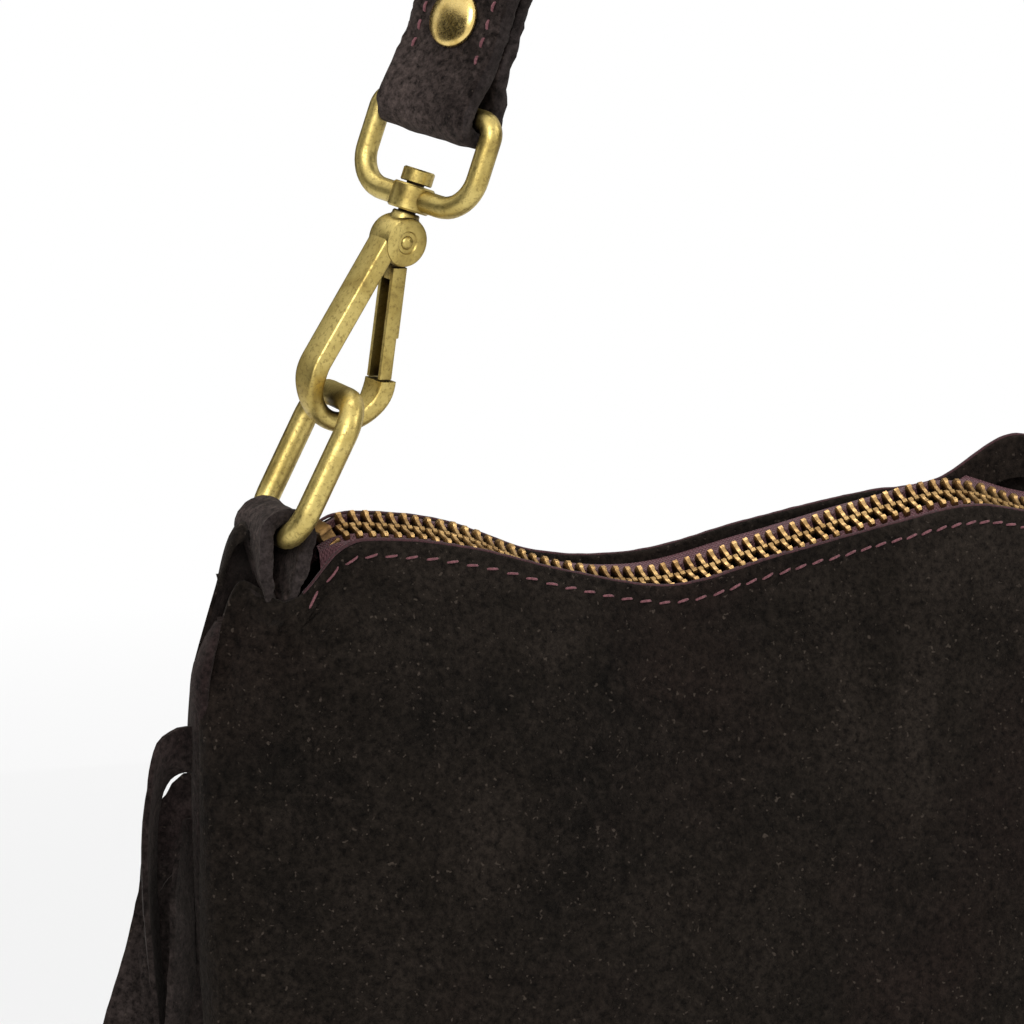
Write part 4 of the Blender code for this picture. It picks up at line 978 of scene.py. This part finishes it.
def panel_point(share, v, side):
    x = share * half_width(v)
    profile = side_profile(share)
    y = SEAM_HALF_GAP + profile * (half_depth(v) - SEAM_HALF_GAP)
    z = PANEL_FOOT + v * (edge_height(x, side) - PANEL_FOOT)
    fade = ease(profile / 0.75) * ease(v / 0.06) * ease((1 - v) / 0.035 + 0.25)
    y += folds(x, z, side) * fade
    y = SEAM_HALF_GAP + (y - SEAM_HALF_GAP) * (1 - corner_close(x, v))
    y += 1.5 * corner_puff(x, side) * ease((v - 0.86) / 0.14)
    return Vector((x, side * y, z + BASE_Z / MM))


def outline_shares(columns=230, turn_steps=26):
    flat_share = 0.8
    edge = side_profile(flat_share)
    turn = [side_profile(edge * step / turn_steps) for step in range(turn_steps)]
    flat = [flat_share * (2 * step / columns - 1) for step in range(columns + 1)]
    return [-share for share in turn] + flat + turn[::-1]


def hem_share(x):
    """The hem is turned in less where the two panels close at the corners."""
    return 1 - 0.9 * ease((abs(x) - 120) / 5)


def dress_panel(side, name, node):
    """One panel of the body: suede with its top edge turned in over a hem."""
    shares = outline_shares()
    rows = 150
    grid = []
    for row in range(rows + 1):
        v = row / rows
        v = v + 0.35 * v * (1 - v)
        grid.append([panel_point(share, v, side) for share in shares])
    top = grid[-1]
    for i in range(1, 9):
        angle = math.pi * i / 8
        line = []
        for share, point in zip(shares, top):
            radius = 0.85 + 2.6 * corner_puff(point.x, side)
            radius *= max(side_profile(share), 0.5)
            line.append(point + Vector((0, -side * radius * (1 - math.cos(angle)), radius * math.sin(angle))))
        grid.append(line)
    for i in range(1, 7):
        grid.append([point - Vector((0, 0, 1.1 * i * hem_share(point.x))) for point in grid[rows + 8]])
    n = len(shares)
    verts = [p for line in grid for p in line]
    faces = []
    for r in range(len(grid) - 1):
        for c in range(n - 1):
            a, b = r * n + c, (r + 1) * n + c
            faces.append((a, a + 1, b + 1, b) if side < 0 else (a + 1, a, b, b + 1))
    obj = new_piece(name, verts, faces)
    obj.data.materials.append(SUEDE)
    obj.data.materials.append(FLESH_SIDE)
    flat = (reach_of(grid[0]), reach_of([line[n // 2] for line in grid]))
    choose(obj)
    wall = obj.modifiers.new("wall", "SOLIDIFY")
    wall.thickness = WALL * MM
    wall.offset = -1
    wall.use_even_offset = False
    wall.material_offset = 1
    bpy.ops.object.modifier_apply(modifier="wall")
    bpy.ops.object.shade_smooth_by_angle(angle=math.radians(70))
    settle(obj, name, "bag", "suede", nodes=(node,))


def dress_seam_welts():
    """The narrow strip that closes each side seam, above the fringe and behind it."""
    sections = []
    steps = 120
    for i in range(steps + 1):
        v = 0.015 + 0.975 * i / steps
        seam = (panel_point(-1, v, -1) + panel_point(-1, v, 1)) / 2
        size = 0.35 + 0.65 * math.sqrt(min(i, steps - i, 3) / 3)
        wander = 0.25 * rough((0, 0, seam.z), 9.0, 4.0)
        centre = seam + Vector((0.9 + wander, -0.6 + 0.3 * wander, 0))
        turns = [math.pi * j / 8 for j in range(16)]
        outline = [(1.35 * size * math.cos(turn), 3.3 * size * math.sin(turn)) for turn in turns]
        sections.append(laid(centre, Vector((1, 0, 0)), Vector((0, 1, 0)), outline))
    welt = smooth_outward(loft("left_seam_welt", sections), math.radians(80))
    settle(welt, "left_seam_welt", "bag", "suede", SUEDE_FRINGE)
    half_turned(welt, "right_seam_welt", "bag", "suede")


def dress_base():
    """The base: a soft-edged suede board; the piping round it is not made."""
    shares = outline_shares(90, 20)
    front = [(s * BASE_HALF_WIDTH, -side_profile(s) * BASE_HALF_DEPTH) for s in shares]
    outline = front + [(x, -y) for x, y in front[-2:0:-1]]
    rings = []
    for inset, z in ((0.9, 0.0), (0.3, 0.25), (0.0, 0.9), (0.0, 1.6), (0.25, 2.2), (0.7, 2.55)):
        wide, deep = 1 - inset / BASE_HALF_WIDTH, 1 - inset / BASE_HALF_DEPTH
        rings.append([Vector((x * wide, y * deep, BASE_Z / MM + z)) for x, y in outline])
    obj = smooth_outward(loft("base_suede", rings), math.radians(50))
    settle(obj, "base_suede", "bag", "suede", SUEDE, nodes=("base_panel",))


def seam_line(side, drop, proud):
    """A point of the panel this far below its top edge, and the way out of its face, for x."""
    def at(x):
        v = 1 - drop / (edge_height(x, side) - PANEL_FOOT)
        share = x / half_width(v)
        point = panel_point(share, v, side)
        east = panel_point(share + 0.004, v, side)
        above = panel_point(share, v + 0.004, side)
        outward = (east - point).cross(above - point).normalized()
        if outward.y * side < 0:
            outward = -outward
        return point + outward * proud, outward
    return at


def dress_seam_stitches():
    """The row of stitches that holds each hem, a little below the top edge."""
    rnd = random.Random(3)
    for side, name in ((-1, "front"), (1, "back")):
        at = seam_line(side, 1.9, 0.08)
        runs = []
        x = -126.5
        while x < 126.5:
            pitch = 3.35 - 0.75 * ease((x + 90) / 90)
            length = 2.1 - 0.15 * ease((x + 90) / 90)
            (start, outward), (end, _) = at(x), at(x + length)
            start = start + Vector((0, 0, rnd.uniform(-0.32, -0.12)))
            end = end + Vector((0, 0, rnd.uniform(0.10, 0.30)))
            runs.append((start, end, outward))
            x += pitch * rnd.uniform(0.95, 1.05)
        stitches = make_stitches(f"{name}_seam_stitches", runs, 0.46)
        settle(stitches, f"{name}_seam_stitches", "bag", "suede", SEAM_THREAD)


def dress_edge_piping():
    """A thin dark-red edge of the hem's lining that shows above the stitches."""
    turns = [2 * math.pi * j / 8 for j in range(8)]
    outline = [(0.42 * math.cos(turn), 0.30 * math.sin(turn)) for turn in turns]
    for side, name in ((-1, "front"), (1, "back")):
        sections = []
        steps = 330
        for i in range(steps + 1):
            x = -127 + 254 * i / steps
            spread = side_profile(x / half_width(1)) * (1 - corner_close(x, 1))
            y = SEAM_HALF_GAP + spread * (TOP_HALF_DEPTH - SEAM_HALF_GAP) + 1.5 * corner_puff(x, side)
            z = edge_height(x, side) + BASE_Z / MM + 0.72 + 2.4 * corner_puff(x, side)
            point = Vector((x, side * (y - WALL), z + 0.10 * rough((x, 0, 5 * side), 2.0)))
            sections.append(laid(point, Vector((0, 1, 0)), Vector((0, 0, 1)), outline))
        obj = smooth_outward(loft(f"{name}_edge_piping", sections), math.radians(80))
        settle(obj, f"{name}_edge_piping", "bag", "suede", EDGE_PIPING)


# Zip
def zip_tilt(x):
    """How far the chain leans towards the front; level where the slider runs."""
    return math.radians(27) * ease((x + 126) / 10) * (1 - ease((x - 8) / 30))


def zip_axes(x):
    step = 0.5
    along = Vector((2 * step, 0, zip_height(x + step) - zip_height(x - step))).normalized()
    across = Vector((0, math.cos(zip_tilt(x)), math.sin(zip_tilt(x))))
    axes = Matrix((along, across, along.cross(across))).transposed().to_4x4()
    axes.translation = (x, 0, BASE_Z / MM + zip_height(x))
    return axes


def inner_half_depth(x):
    profile = side_profile(x / CORNER_HALF_WIDTH)
    return SEAM_HALF_GAP + profile * (TOP_HALF_DEPTH - SEAM_HALF_GAP) - 2.4


TAPE_BEAD, TAPE_HALF = 0.62, 0.35  # half the thickness at the beaded edge and elsewhere


def dress_tapes():
    for side, name, node, panel in (
        (-1, "front_tape", "zip_tape_front", "front_panel"), (1, "back_tape", "zip_tape_back", "back_panel"),
    ):
        sections = []
        start, end = ZIP_START - 2.4, ZIP_END + 7.2
        steps = 330
        for i in range(steps + 1):
            x = start + (end - start) * i / steps
            height = zip_height(x)
            wall_y = inner_half_depth(x)
            flat_y = min(4.4, (wall_y + 2.6) / 2)
            rise = min(wave_at(x, 2 if side < 0 else 3) - 1.0, 3.2)
            ripple = 0.12 * rough((x, 3 * side, 0), 5)
            lean = side * math.sin(zip_tilt(x))
            line = [
                (2.3, 2.3 * lean), (2.6, 2.6 * lean), (3.3, 3.3 * lean - 0.25),
                (flat_y, flat_y * lean + ripple - 0.35),
                ((flat_y + wall_y) / 2, flat_y * lean * 0.6 + rise * 0.45),
                (wall_y - 0.15, rise * 0.86), (wall_y, rise), (wall_y + 0.05, rise - 3.4),
            ]
            upper = [(y, z + (TAPE_BEAD if k < 2 else TAPE_HALF)) for k, (y, z) in enumerate(line)]
            lower = [(y, z - (TAPE_BEAD if k < 2 else TAPE_HALF)) for k, (y, z) in enumerate(line)]
            for k in (-1, -2):
                upper[k] = (wall_y - 0.3, line[k][1])
                lower[k] = (wall_y + 0.4, line[k][1])
            upper[-3] = (wall_y - 0.45, line[-3][1] + 0.1)
            base = BASE_Z / MM + height
            sections.append([Vector((x, side * y, base + z)) for y, z in upper + lower[::-1]])
            if i == steps // 2:
                middle_line = [Vector((0, y, z)) for y, z in line]
        obj = smooth_outward(loft(name, sections), math.radians(60))
        settle(obj, name, "bag", "zip_tape", TAPE, nodes=(node,))
        length = reach_of(middles(sections))
        reach_of(middle_line) * length


def tooth_points(reach):
    """One tooth from its head to its root: rows of points, each seven round."""
    stations = [
        (reach, 0.40, 0.60), (reach + 0.20, 0.64, 1.0), (reach + 0.80, 0.68, 1.15),
        (reach + 1.15, 0.52, 0.95), (2.15, 0.54, 1.15), (2.5, 0.66, 1.45), (3.1, 0.66, 1.45),
        (3.45, 0.46, 1.15),
    ]
    around = ((1, 0.55), (0.6, 1), (-0.6, 1), (-1, 0.55), (-1, -0.55), (0, -1), (1, -0.55))
    return [[(a * w, y, b * h) for a, b in around] for y, w, h in stations]


def tooth_places():
    places = []
    x = ZIP_START + TOOTH_PITCH
    while x < ZIP_END:
        places.append(x)
        slope = zip_height(x + 1) - zip_height(x)
        x += TOOTH_PITCH / math.hypot(1, slope)
    return places


def dress_teeth():
    """Both rows of elements, their heads meshed where the zip stays shut."""
    rnd = random.Random(5)
    for side, name in ((-1, "front_teeth"), (1, "back_teeth")):
        verts, faces = [], []
        for x in tooth_places():
            x += 0 if side < 0 else TOOTH_PITCH / 2
            slant = 0.30 * (1 - ease((x - 8) / 30)) + rnd.uniform(-0.05, 0.05)
            axes = zip_axes(x) @ Matrix.Rotation(slant * 0.5, 4, "Z")
            axes = axes @ Matrix.Rotation(rnd.uniform(-0.05, 0.05), 4, "X")
            rows = tooth_points(-0.55 if x < 30 else 0.28)
            add_tube(verts, faces, [[axes @ Vector((a, side * y, b)) for a, y, b in row] for row in rows])
        obj = smooth_outward(new_piece(name, verts, faces), math.radians(38))
        settle(obj, name, "bag", "zip_brass", SHADED_ZIP_BRASS)


def fine_copy(node, name, body, slot, material, width, segments=2):
    """A CAD node's own shape, merged and with its edges rounded."""
    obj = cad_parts[node].copy()
    obj.data = obj.data.copy()
    obj.parent = None
    for key in list(obj.keys()):
        del obj[key]
    bpy.context.scene.collection.objects.link(obj)
    obj.hide_render = False
    obj.hide_viewport = False
    choose(obj)
    bpy.ops.object.mode_set(mode="EDIT")
    bpy.ops.mesh.select_all(action="SELECT")
    bpy.ops.mesh.remove_doubles(threshold=2e-6)
    bpy.ops.mesh.dissolve_limited(angle_limit=math.radians(1))
    bpy.ops.object.mode_set(mode="OBJECT")
    round_edges(obj, width, segments)
    bpy.ops.object.shade_smooth_by_angle(angle=math.radians(40))
    return settle(obj, name, body, slot, material, nodes=(node,))


def dress_zip_metal():
    for node in ("zip_bottom_stop", "zip_top_stop_front", "zip_top_stop_back"):
        fine_copy(node, f"{node}_fine", "bag", "zip_brass", SHADED_ZIP_BRASS, 0.15)
    fine_copy("zip_slider", "zip_slider_fine", "slider_body", "zip_brass", SHADED_ZIP_BRASS, 0.18, 3)
    fine_copy("zip_pull", "zip_pull_fine", "pull_body", "zip_brass", SHADED_ZIP_BRASS, 0.2, 3)


# Tabs
TAB_CUT, TAB_WIDTH, TAB_FOOT_WIDTH, TAB_THICKNESS = 15.6, 14.5, 3.4, 2.3


def dress_tabs():
    """The strip folded over each ring's lower bar and gathered where it enters the body."""
    place = ring_place()
    thickness = TAB_THICKNESS
    radius = RING_WIRE / 2 + 0.35 + thickness / 2
    foot = Vector((-0.4, 0, -13.2))
    layer = (thickness + 0.2) / 2
    left_top = Vector((radius * math.cos(math.radians(196)), 0, radius * math.sin(math.radians(196))))
    right_top = Vector((radius * math.cos(math.radians(-16)), 0, radius * math.sin(math.radians(-16))))
    down = 24
    left_foot, right_foot = foot - Vector((layer * 0.45, 0, 0)), foot + Vector((layer * 0.45, 0, 0))
    path = []
    for i in range(down):
        t = i / down
        path.append(left_foot.lerp(left_top, t) + Vector((-1.1 * math.sin(math.pi * t), 0, 0)))
    for i in range(29):
        angle = math.radians(196 - 212 * i / 28)
        path.append(Vector((radius * math.cos(angle), 0, radius * math.sin(angle))))
    for i in range(1, down + 1):
        t = i / down
        path.append(right_top.lerp(right_foot, t) + Vector((0.2 * math.sin(math.pi * t), 0, 0)))
    sections = []
    n = 16
    across = Vector((0, 1, 0))
    for i, point in enumerate(path):
        along = (path[min(i + 1, len(path) - 1)] - path[max(i - 1, 0)]).normalized()
        share = ease((point.z + 13.0) / 8.4)
        width = TAB_FOOT_WIDTH + (TAB_WIDTH - TAB_FOOT_WIDTH) * share
        thin = 0.45 + 0.55 * share
        shift = -3.3 * (1 - share) * (1 - 0.6 * ease((-point.z - 10.0) / 3.2))
        press = 1.4 * ease((-point.z - 1.5) / 4)
        through = along.cross(across)
        bow = 1.3 * share * (1 if point.z < 0 else 0.5)
        outline = []
        for j in range(n + 1):
            a = -width / 2 + 0.3 + (width - 0.6) * j / n
            outline.append((a, -thickness / 2))
        outline += [(width / 2, -thickness * 0.25), (width / 2, thickness * 0.25)]
        outline += [(-a, -b) for a, b in outline]
        section = []
        for a, b in outline:
            crease = 0.4 * (1 - share) * math.cos(a * 1.9) + bow * (1 - (2 * a / width) ** 2) * -0.55
            nap = 0.13 * rough((a, i * 0.8, 7 + b), 1.5) + 0.20 * rough((a, i * 0.8, 3), 4.0)
            cut_edge = 0.30 * rough((i * 0.7, b * 3, a), 1.2) if abs(a) > width / 2 - 0.4 else 0
            nip = -press * ease((a + width / 4) / (width / 2)) * (1 if point.z < 0 else 0)
            rise = b * thin + crease + nap + nip
            section.append(place + point + across * (a + shift + cut_edge) + through * rise)
        sections.append(section)
    obj = smooth_outward(loft("left_tab_suede", sections), math.radians(60))
    settle(obj, "left_tab_suede", "bag", "suede", SUEDE_TRIM, CUT_EDGE, nodes=("left_tab",))
    mark_cut_edges(obj, 2 * (n + 1) + 4, (n, n + 1, n + 2, 2 * n + 3, 2 * n + 4, 2 * n + 5))
    twin = half_turned(obj, "right_tab_suede", "bag", "suede", ("right_tab",))
    flat = (TAB_CUT * MM, reach_of(path))


# Fringe
# Each strip in turn: how far it arches out, how far it drifts as it hangs, its twist and its lane
STRIP_SHAPES = (
    (8.2, -3.2, 0.45, -3.0), (4.4, 7.6, 1.05, 4.0), (3.2, 0.9, 0.80, -6.2),
    (5.6, 5.2, 0.95, 1.2), (2.8, 1.6, 1.20, -5.4), (6.6, 3.4, 0.60, 5.2),
)


def fringe_path(index, rnd):
    """Centre line of one strip, and the way its breadth points at each place, from the seam to the tip."""
    pitch = (FRINGE_TOP - FRINGE_BOTTOM) / FRINGE_STRIPS
    root_z = FRINGE_TOP - pitch * (index + 0.5) + 0.6
    reach, drift, twist, lane = STRIP_SHAPES[index % len(STRIP_SHAPES)]
    reach += rnd.uniform(-0.4, 0.4)
    twist += rnd.uniform(-0.15, 0.15)
    lane += rnd.uniform(-0.6, 0.6)
    tip_z = 5 + 3 * (index % 5) + rnd.uniform(0, 3)
    root = Vector((-BODY_HALF_WIDTH + 3.5, 0, root_z))
    lip = Vector((-BODY_HALF_WIDTH - 0.2, lane * 0.05, root_z + 0.3))
    points = [root.lerp(lip, i / 4) for i in range(4)]
    ways = [Vector((0, 0.05, 1))] * 4
    arch = 1.5 if reach > 6 else -5.0
    crown = Vector((-BODY_HALF_WIDTH - reach, lane * 0.45, root_z + arch))
    fall = Vector((-BODY_HALF_WIDTH - reach - 0.4, lane * 0.85, root_z - (17 if reach > 6 else 13)))
    hang = Vector((-math.sin(twist), math.cos(twist) * (1 if index % 2 else -1), 0))
    for i in range(17):
        t = i / 16
        points.append(lip.lerp(crown, t).lerp(crown.lerp(fall, t), t))
        ways.append(Vector((0, 0.05, 1)).lerp(hang, ease(t)).normalized())
    phase, sway = rnd.uniform(0, 6.28), rnd.uniform(0.3, 0.8)
    depth = fall.z - tip_z
    steps = max(int(depth / 2.0), 3)
    for i in range(1, steps + 1):
        t = i / steps
        z = fall.z - depth * t
        down = fall.z - z
        out = reach + drift * ease(down / 42) * min(1, depth / 50) + 0.045 * min(down, 110) * (drift > 0)
        wave = sway * min(1, down / 25)
        side = BODY_HALF_WIDTH + 2.2 * ease((150 - z) / 150)
        x = -(side + out + 0.4) + wave * math.sin(z / 17 + phase)
        y = lane * (0.85 + 0.35 * t) + wave * math.sin(z / 23 + phase * 1.7)
        points.append(Vector((x, y, z)))
        turn = 0.35 * math.sin(z / 29 + phase) * min(1, down / 25)
        ways.append(Matrix.Rotation(turn, 3, "Z") @ hang)
    return points, ways


def dress_fringe():
    """Cut strips that leave the side seam, arch over and hang beside one another."""
    rnd = random.Random(21)
    strips, lengths = [], []
    for index in range(FRINGE_STRIPS):
        points, ways = fringe_path(index, rnd)
        width = STRIP_WIDTH + rnd.uniform(-0.4, 0.3)
        sections = []
        length = 0.0
        for i, (point, way) in enumerate(zip(points, ways)):
            if i:
                length += (point - points[i - 1]).length
            along = (points[min(i + 1, len(points) - 1)] - points[max(i - 1, 0)]).normalized()
            across = (way - along * way.dot(along)).normalized()
            through = along.cross(across)
            w, t = width / 2, STRIP_THICKNESS / 2
            w *= 1 - 0.4 * ease((i - len(points) + 4) / 4)
            cup = 0.5 * math.sin(length / 19 + index)
            outline = []
            for k in range(7):
                a = -1 + k / 3
                outline.append((a * w, -t * (0.7 if k in (0, 6) else 1) + cup * (1 - a * a)))
            outline += [(-a, -b + 2 * cup * (1 - (a / w) ** 2)) for a, b in outline]
            shifted = []
            for a, b in outline:
                wobble = 0.26 * rough((length, a, index * 9.0), 1.7) if abs(a) >= w * 0.99 else 0
                nap = 0.16 * rough((length, a * 2, index * 5.0), 2.6)
                shifted.append((a + wobble, b + nap))
            sections.append(laid(point + Vector((0, 0, BASE_Z / MM)), across, through, shifted))
        strip = loft(f"strip_{index}", sections)
        slots = [1 if f % 14 in (6, 13) else 0 for f in range(len(strip.data.polygons))]
        strip.data.polygons.foreach_set("material_index", slots)
        strips.append(strip)
        lengths.append(length * MM)
    obj = join(*strips)
    indices = np.zeros(len(obj.data.polygons), np.int32)
    obj.data.polygons.foreach_get("material_index", indices)
    smooth_outward(obj, math.radians(65))
    settle(obj, "left_fringe_strips", "bag", "suede", SUEDE_FRINGE, CUT_EDGE, nodes=("left_fringe",))
    obj.data.polygons.foreach_set("material_index", indices[:len(obj.data.polygons)])
    twin = half_turned(obj, "right_fringe_strips", "bag", "suede", ("right_fringe",))


# Studio
def light_panel(name, place, size, energy, colour=(1, 1, 1)):
    clear_choice()
    aim_at = Vector((-0.11, 0, -0.26))
    turn = (aim_at - Vector(place)).to_track_quat("-Z", "Y").to_euler()
    bpy.ops.object.light_add(type="AREA", location=place, rotation=turn)
    lamp = bpy.context.object
    lamp.name = name
    lamp.data.shape = "RECTANGLE"
    lamp.data.size, lamp.data.size_y = size
    lamp.data.energy = energy
    lamp.data.color = colour


FILL_LEVEL = 0.55


def set_world():
    """White for the camera, gloss and glass; a plain soft level for the rest."""
    world = bpy.data.worlds.new("studio_world")
    bpy.context.scene.world = world
    world.use_nodes = True
    nodes, links = world.node_tree.nodes, world.node_tree.links
    nodes.clear()
    rays = nodes.new("ShaderNodeLightPath").outputs
    more, seen = nodes.new("ShaderNodeMath"), nodes.new("ShaderNodeMath")
    more.operation = seen.operation = "MAXIMUM"
    links.new(rays["Is Glossy Ray"], more.inputs[0])
    links.new(rays["Is Transmission Ray"], more.inputs[1])
    links.new(rays["Is Camera Ray"], seen.inputs[0])
    links.new(more.outputs[0], seen.inputs[1])
    blend = nodes.new("ShaderNodeMixShader")
    links.new(seen.outputs[0], blend.inputs[0])
    for strength, socket in ((FILL_LEVEL, blend.inputs[1]), (1.0, blend.inputs[2])):
        level = nodes.new("ShaderNodeBackground")
        level.inputs["Color"].default_value = (1, 1, 1, 1)
        level.inputs["Strength"].default_value = strength
        links.new(level.outputs[0], socket)
    out = nodes.new("ShaderNodeOutputWorld")
    links.new(blend.outputs[0], out.inputs[0])


def lay_floor():
    """A pale floor: lit and shadowed under the bag, plain white further out."""
    clear_choice()
    level = (0, 0, BASE_Z - 0.0005)
    bpy.ops.mesh.primitive_circle_add(vertices=96, radius=14, fill_type="NGON", location=level)
    floor = bpy.context.object
    floor.name = "studio_floor"
    f = Finish("pale_floor")
    f.shader.inputs["Base Color"].default_value = (0.86, 0.86, 0.86, 1)
    f.shader.inputs["Roughness"].default_value = 0.7
    place = f.add("ShaderNodeTexCoord").outputs["Object"]
    far = f.add("ShaderNodeVectorMath", operation="LENGTH")
    f.join(place, far.inputs[0])
    out = f.ramp(f.maths("MULTIPLY", far.outputs["Value"], 0.5), (0.18, (0, 0, 0)), (0.50, (1, 1, 1)))
    path = f.add("ShaderNodeLightPath")
    seen = f.maths("MAXIMUM", path.outputs["Is Camera Ray"], path.outputs["Is Glossy Ray"])
    seen = f.maths("MAXIMUM", seen, path.outputs["Is Transmission Ray"])
    white = f.add("ShaderNodeEmission")
    white.inputs["Color"].default_value = (1, 1, 1, 1)
    white.inputs["Strength"].default_value = 1.0
    blend = f.add("ShaderNodeMixShader")
    f.join(f.maths("MULTIPLY", out, seen), blend.inputs[0])
    f.join(f.shader.outputs[0], blend.inputs[1])
    f.join(white.outputs[0], blend.inputs[2])
    f.join(blend.outputs[0], f.nodes["Material Output"].inputs["Surface"])
    floor.data.materials.append(f.material)


def hang_card(name, place, size, turn):
    """A dark card that only the metal's reflections see."""
    clear_choice()
    bpy.ops.mesh.primitive_plane_add(size=1, location=place, rotation=turn)
    card = bpy.context.object
    card.name = name
    card.scale = (*size, 1)
    card.visible_camera = False
    card.visible_diffuse = False
    card.visible_shadow = False
    card.visible_transmission = False
    f = Finish(f"{name}_black")
    f.set(Roughness=1.0, Specular_IOR_Level=0.0)
    f.shader.inputs["Base Color"].default_value = (0.02, 0.018, 0.014, 1)
    card.data.materials.append(f.material)


# The whole bag
dress_hardware()
dress_strap()
dress_strap_stitches()
dress_panel(-1, "front_suede", "front_panel")
dress_panel(1, "back_suede", "back_panel")
dress_seam_welts()
dress_base()
dress_seam_stitches()
dress_edge_piping()
dress_tapes()
dress_teeth()
dress_zip_metal()
dress_tabs()
dress_fringe()

set_world()
lay_floor()
hang_card("card_behind", (-0.1, 0.75, -0.2), (1.6, 1.1), (math.pi / 2, 0, 0))
hang_card("card_left", (-1.0, -0.1, -0.2), (1.2, 1.0), (math.pi / 2, 0, math.pi / 2))
hang_card("card_right", (0.9, -0.2, -0.2), (1.0, 1.0), (math.pi / 2, 0, math.pi / 2))
light_panel("key_light", (-1.1, -1.5, 0.9), (1.0, 1.0), 26)
light_panel("right_light", (1.4, -0.9, 0.5), (0.8, 1.2), 12)
light_panel("top_light", (0.0, 0.4, 1.5), (1.2, 0.8), 10)
bpy.context.scene.view_settings.view_transform = "Standard"
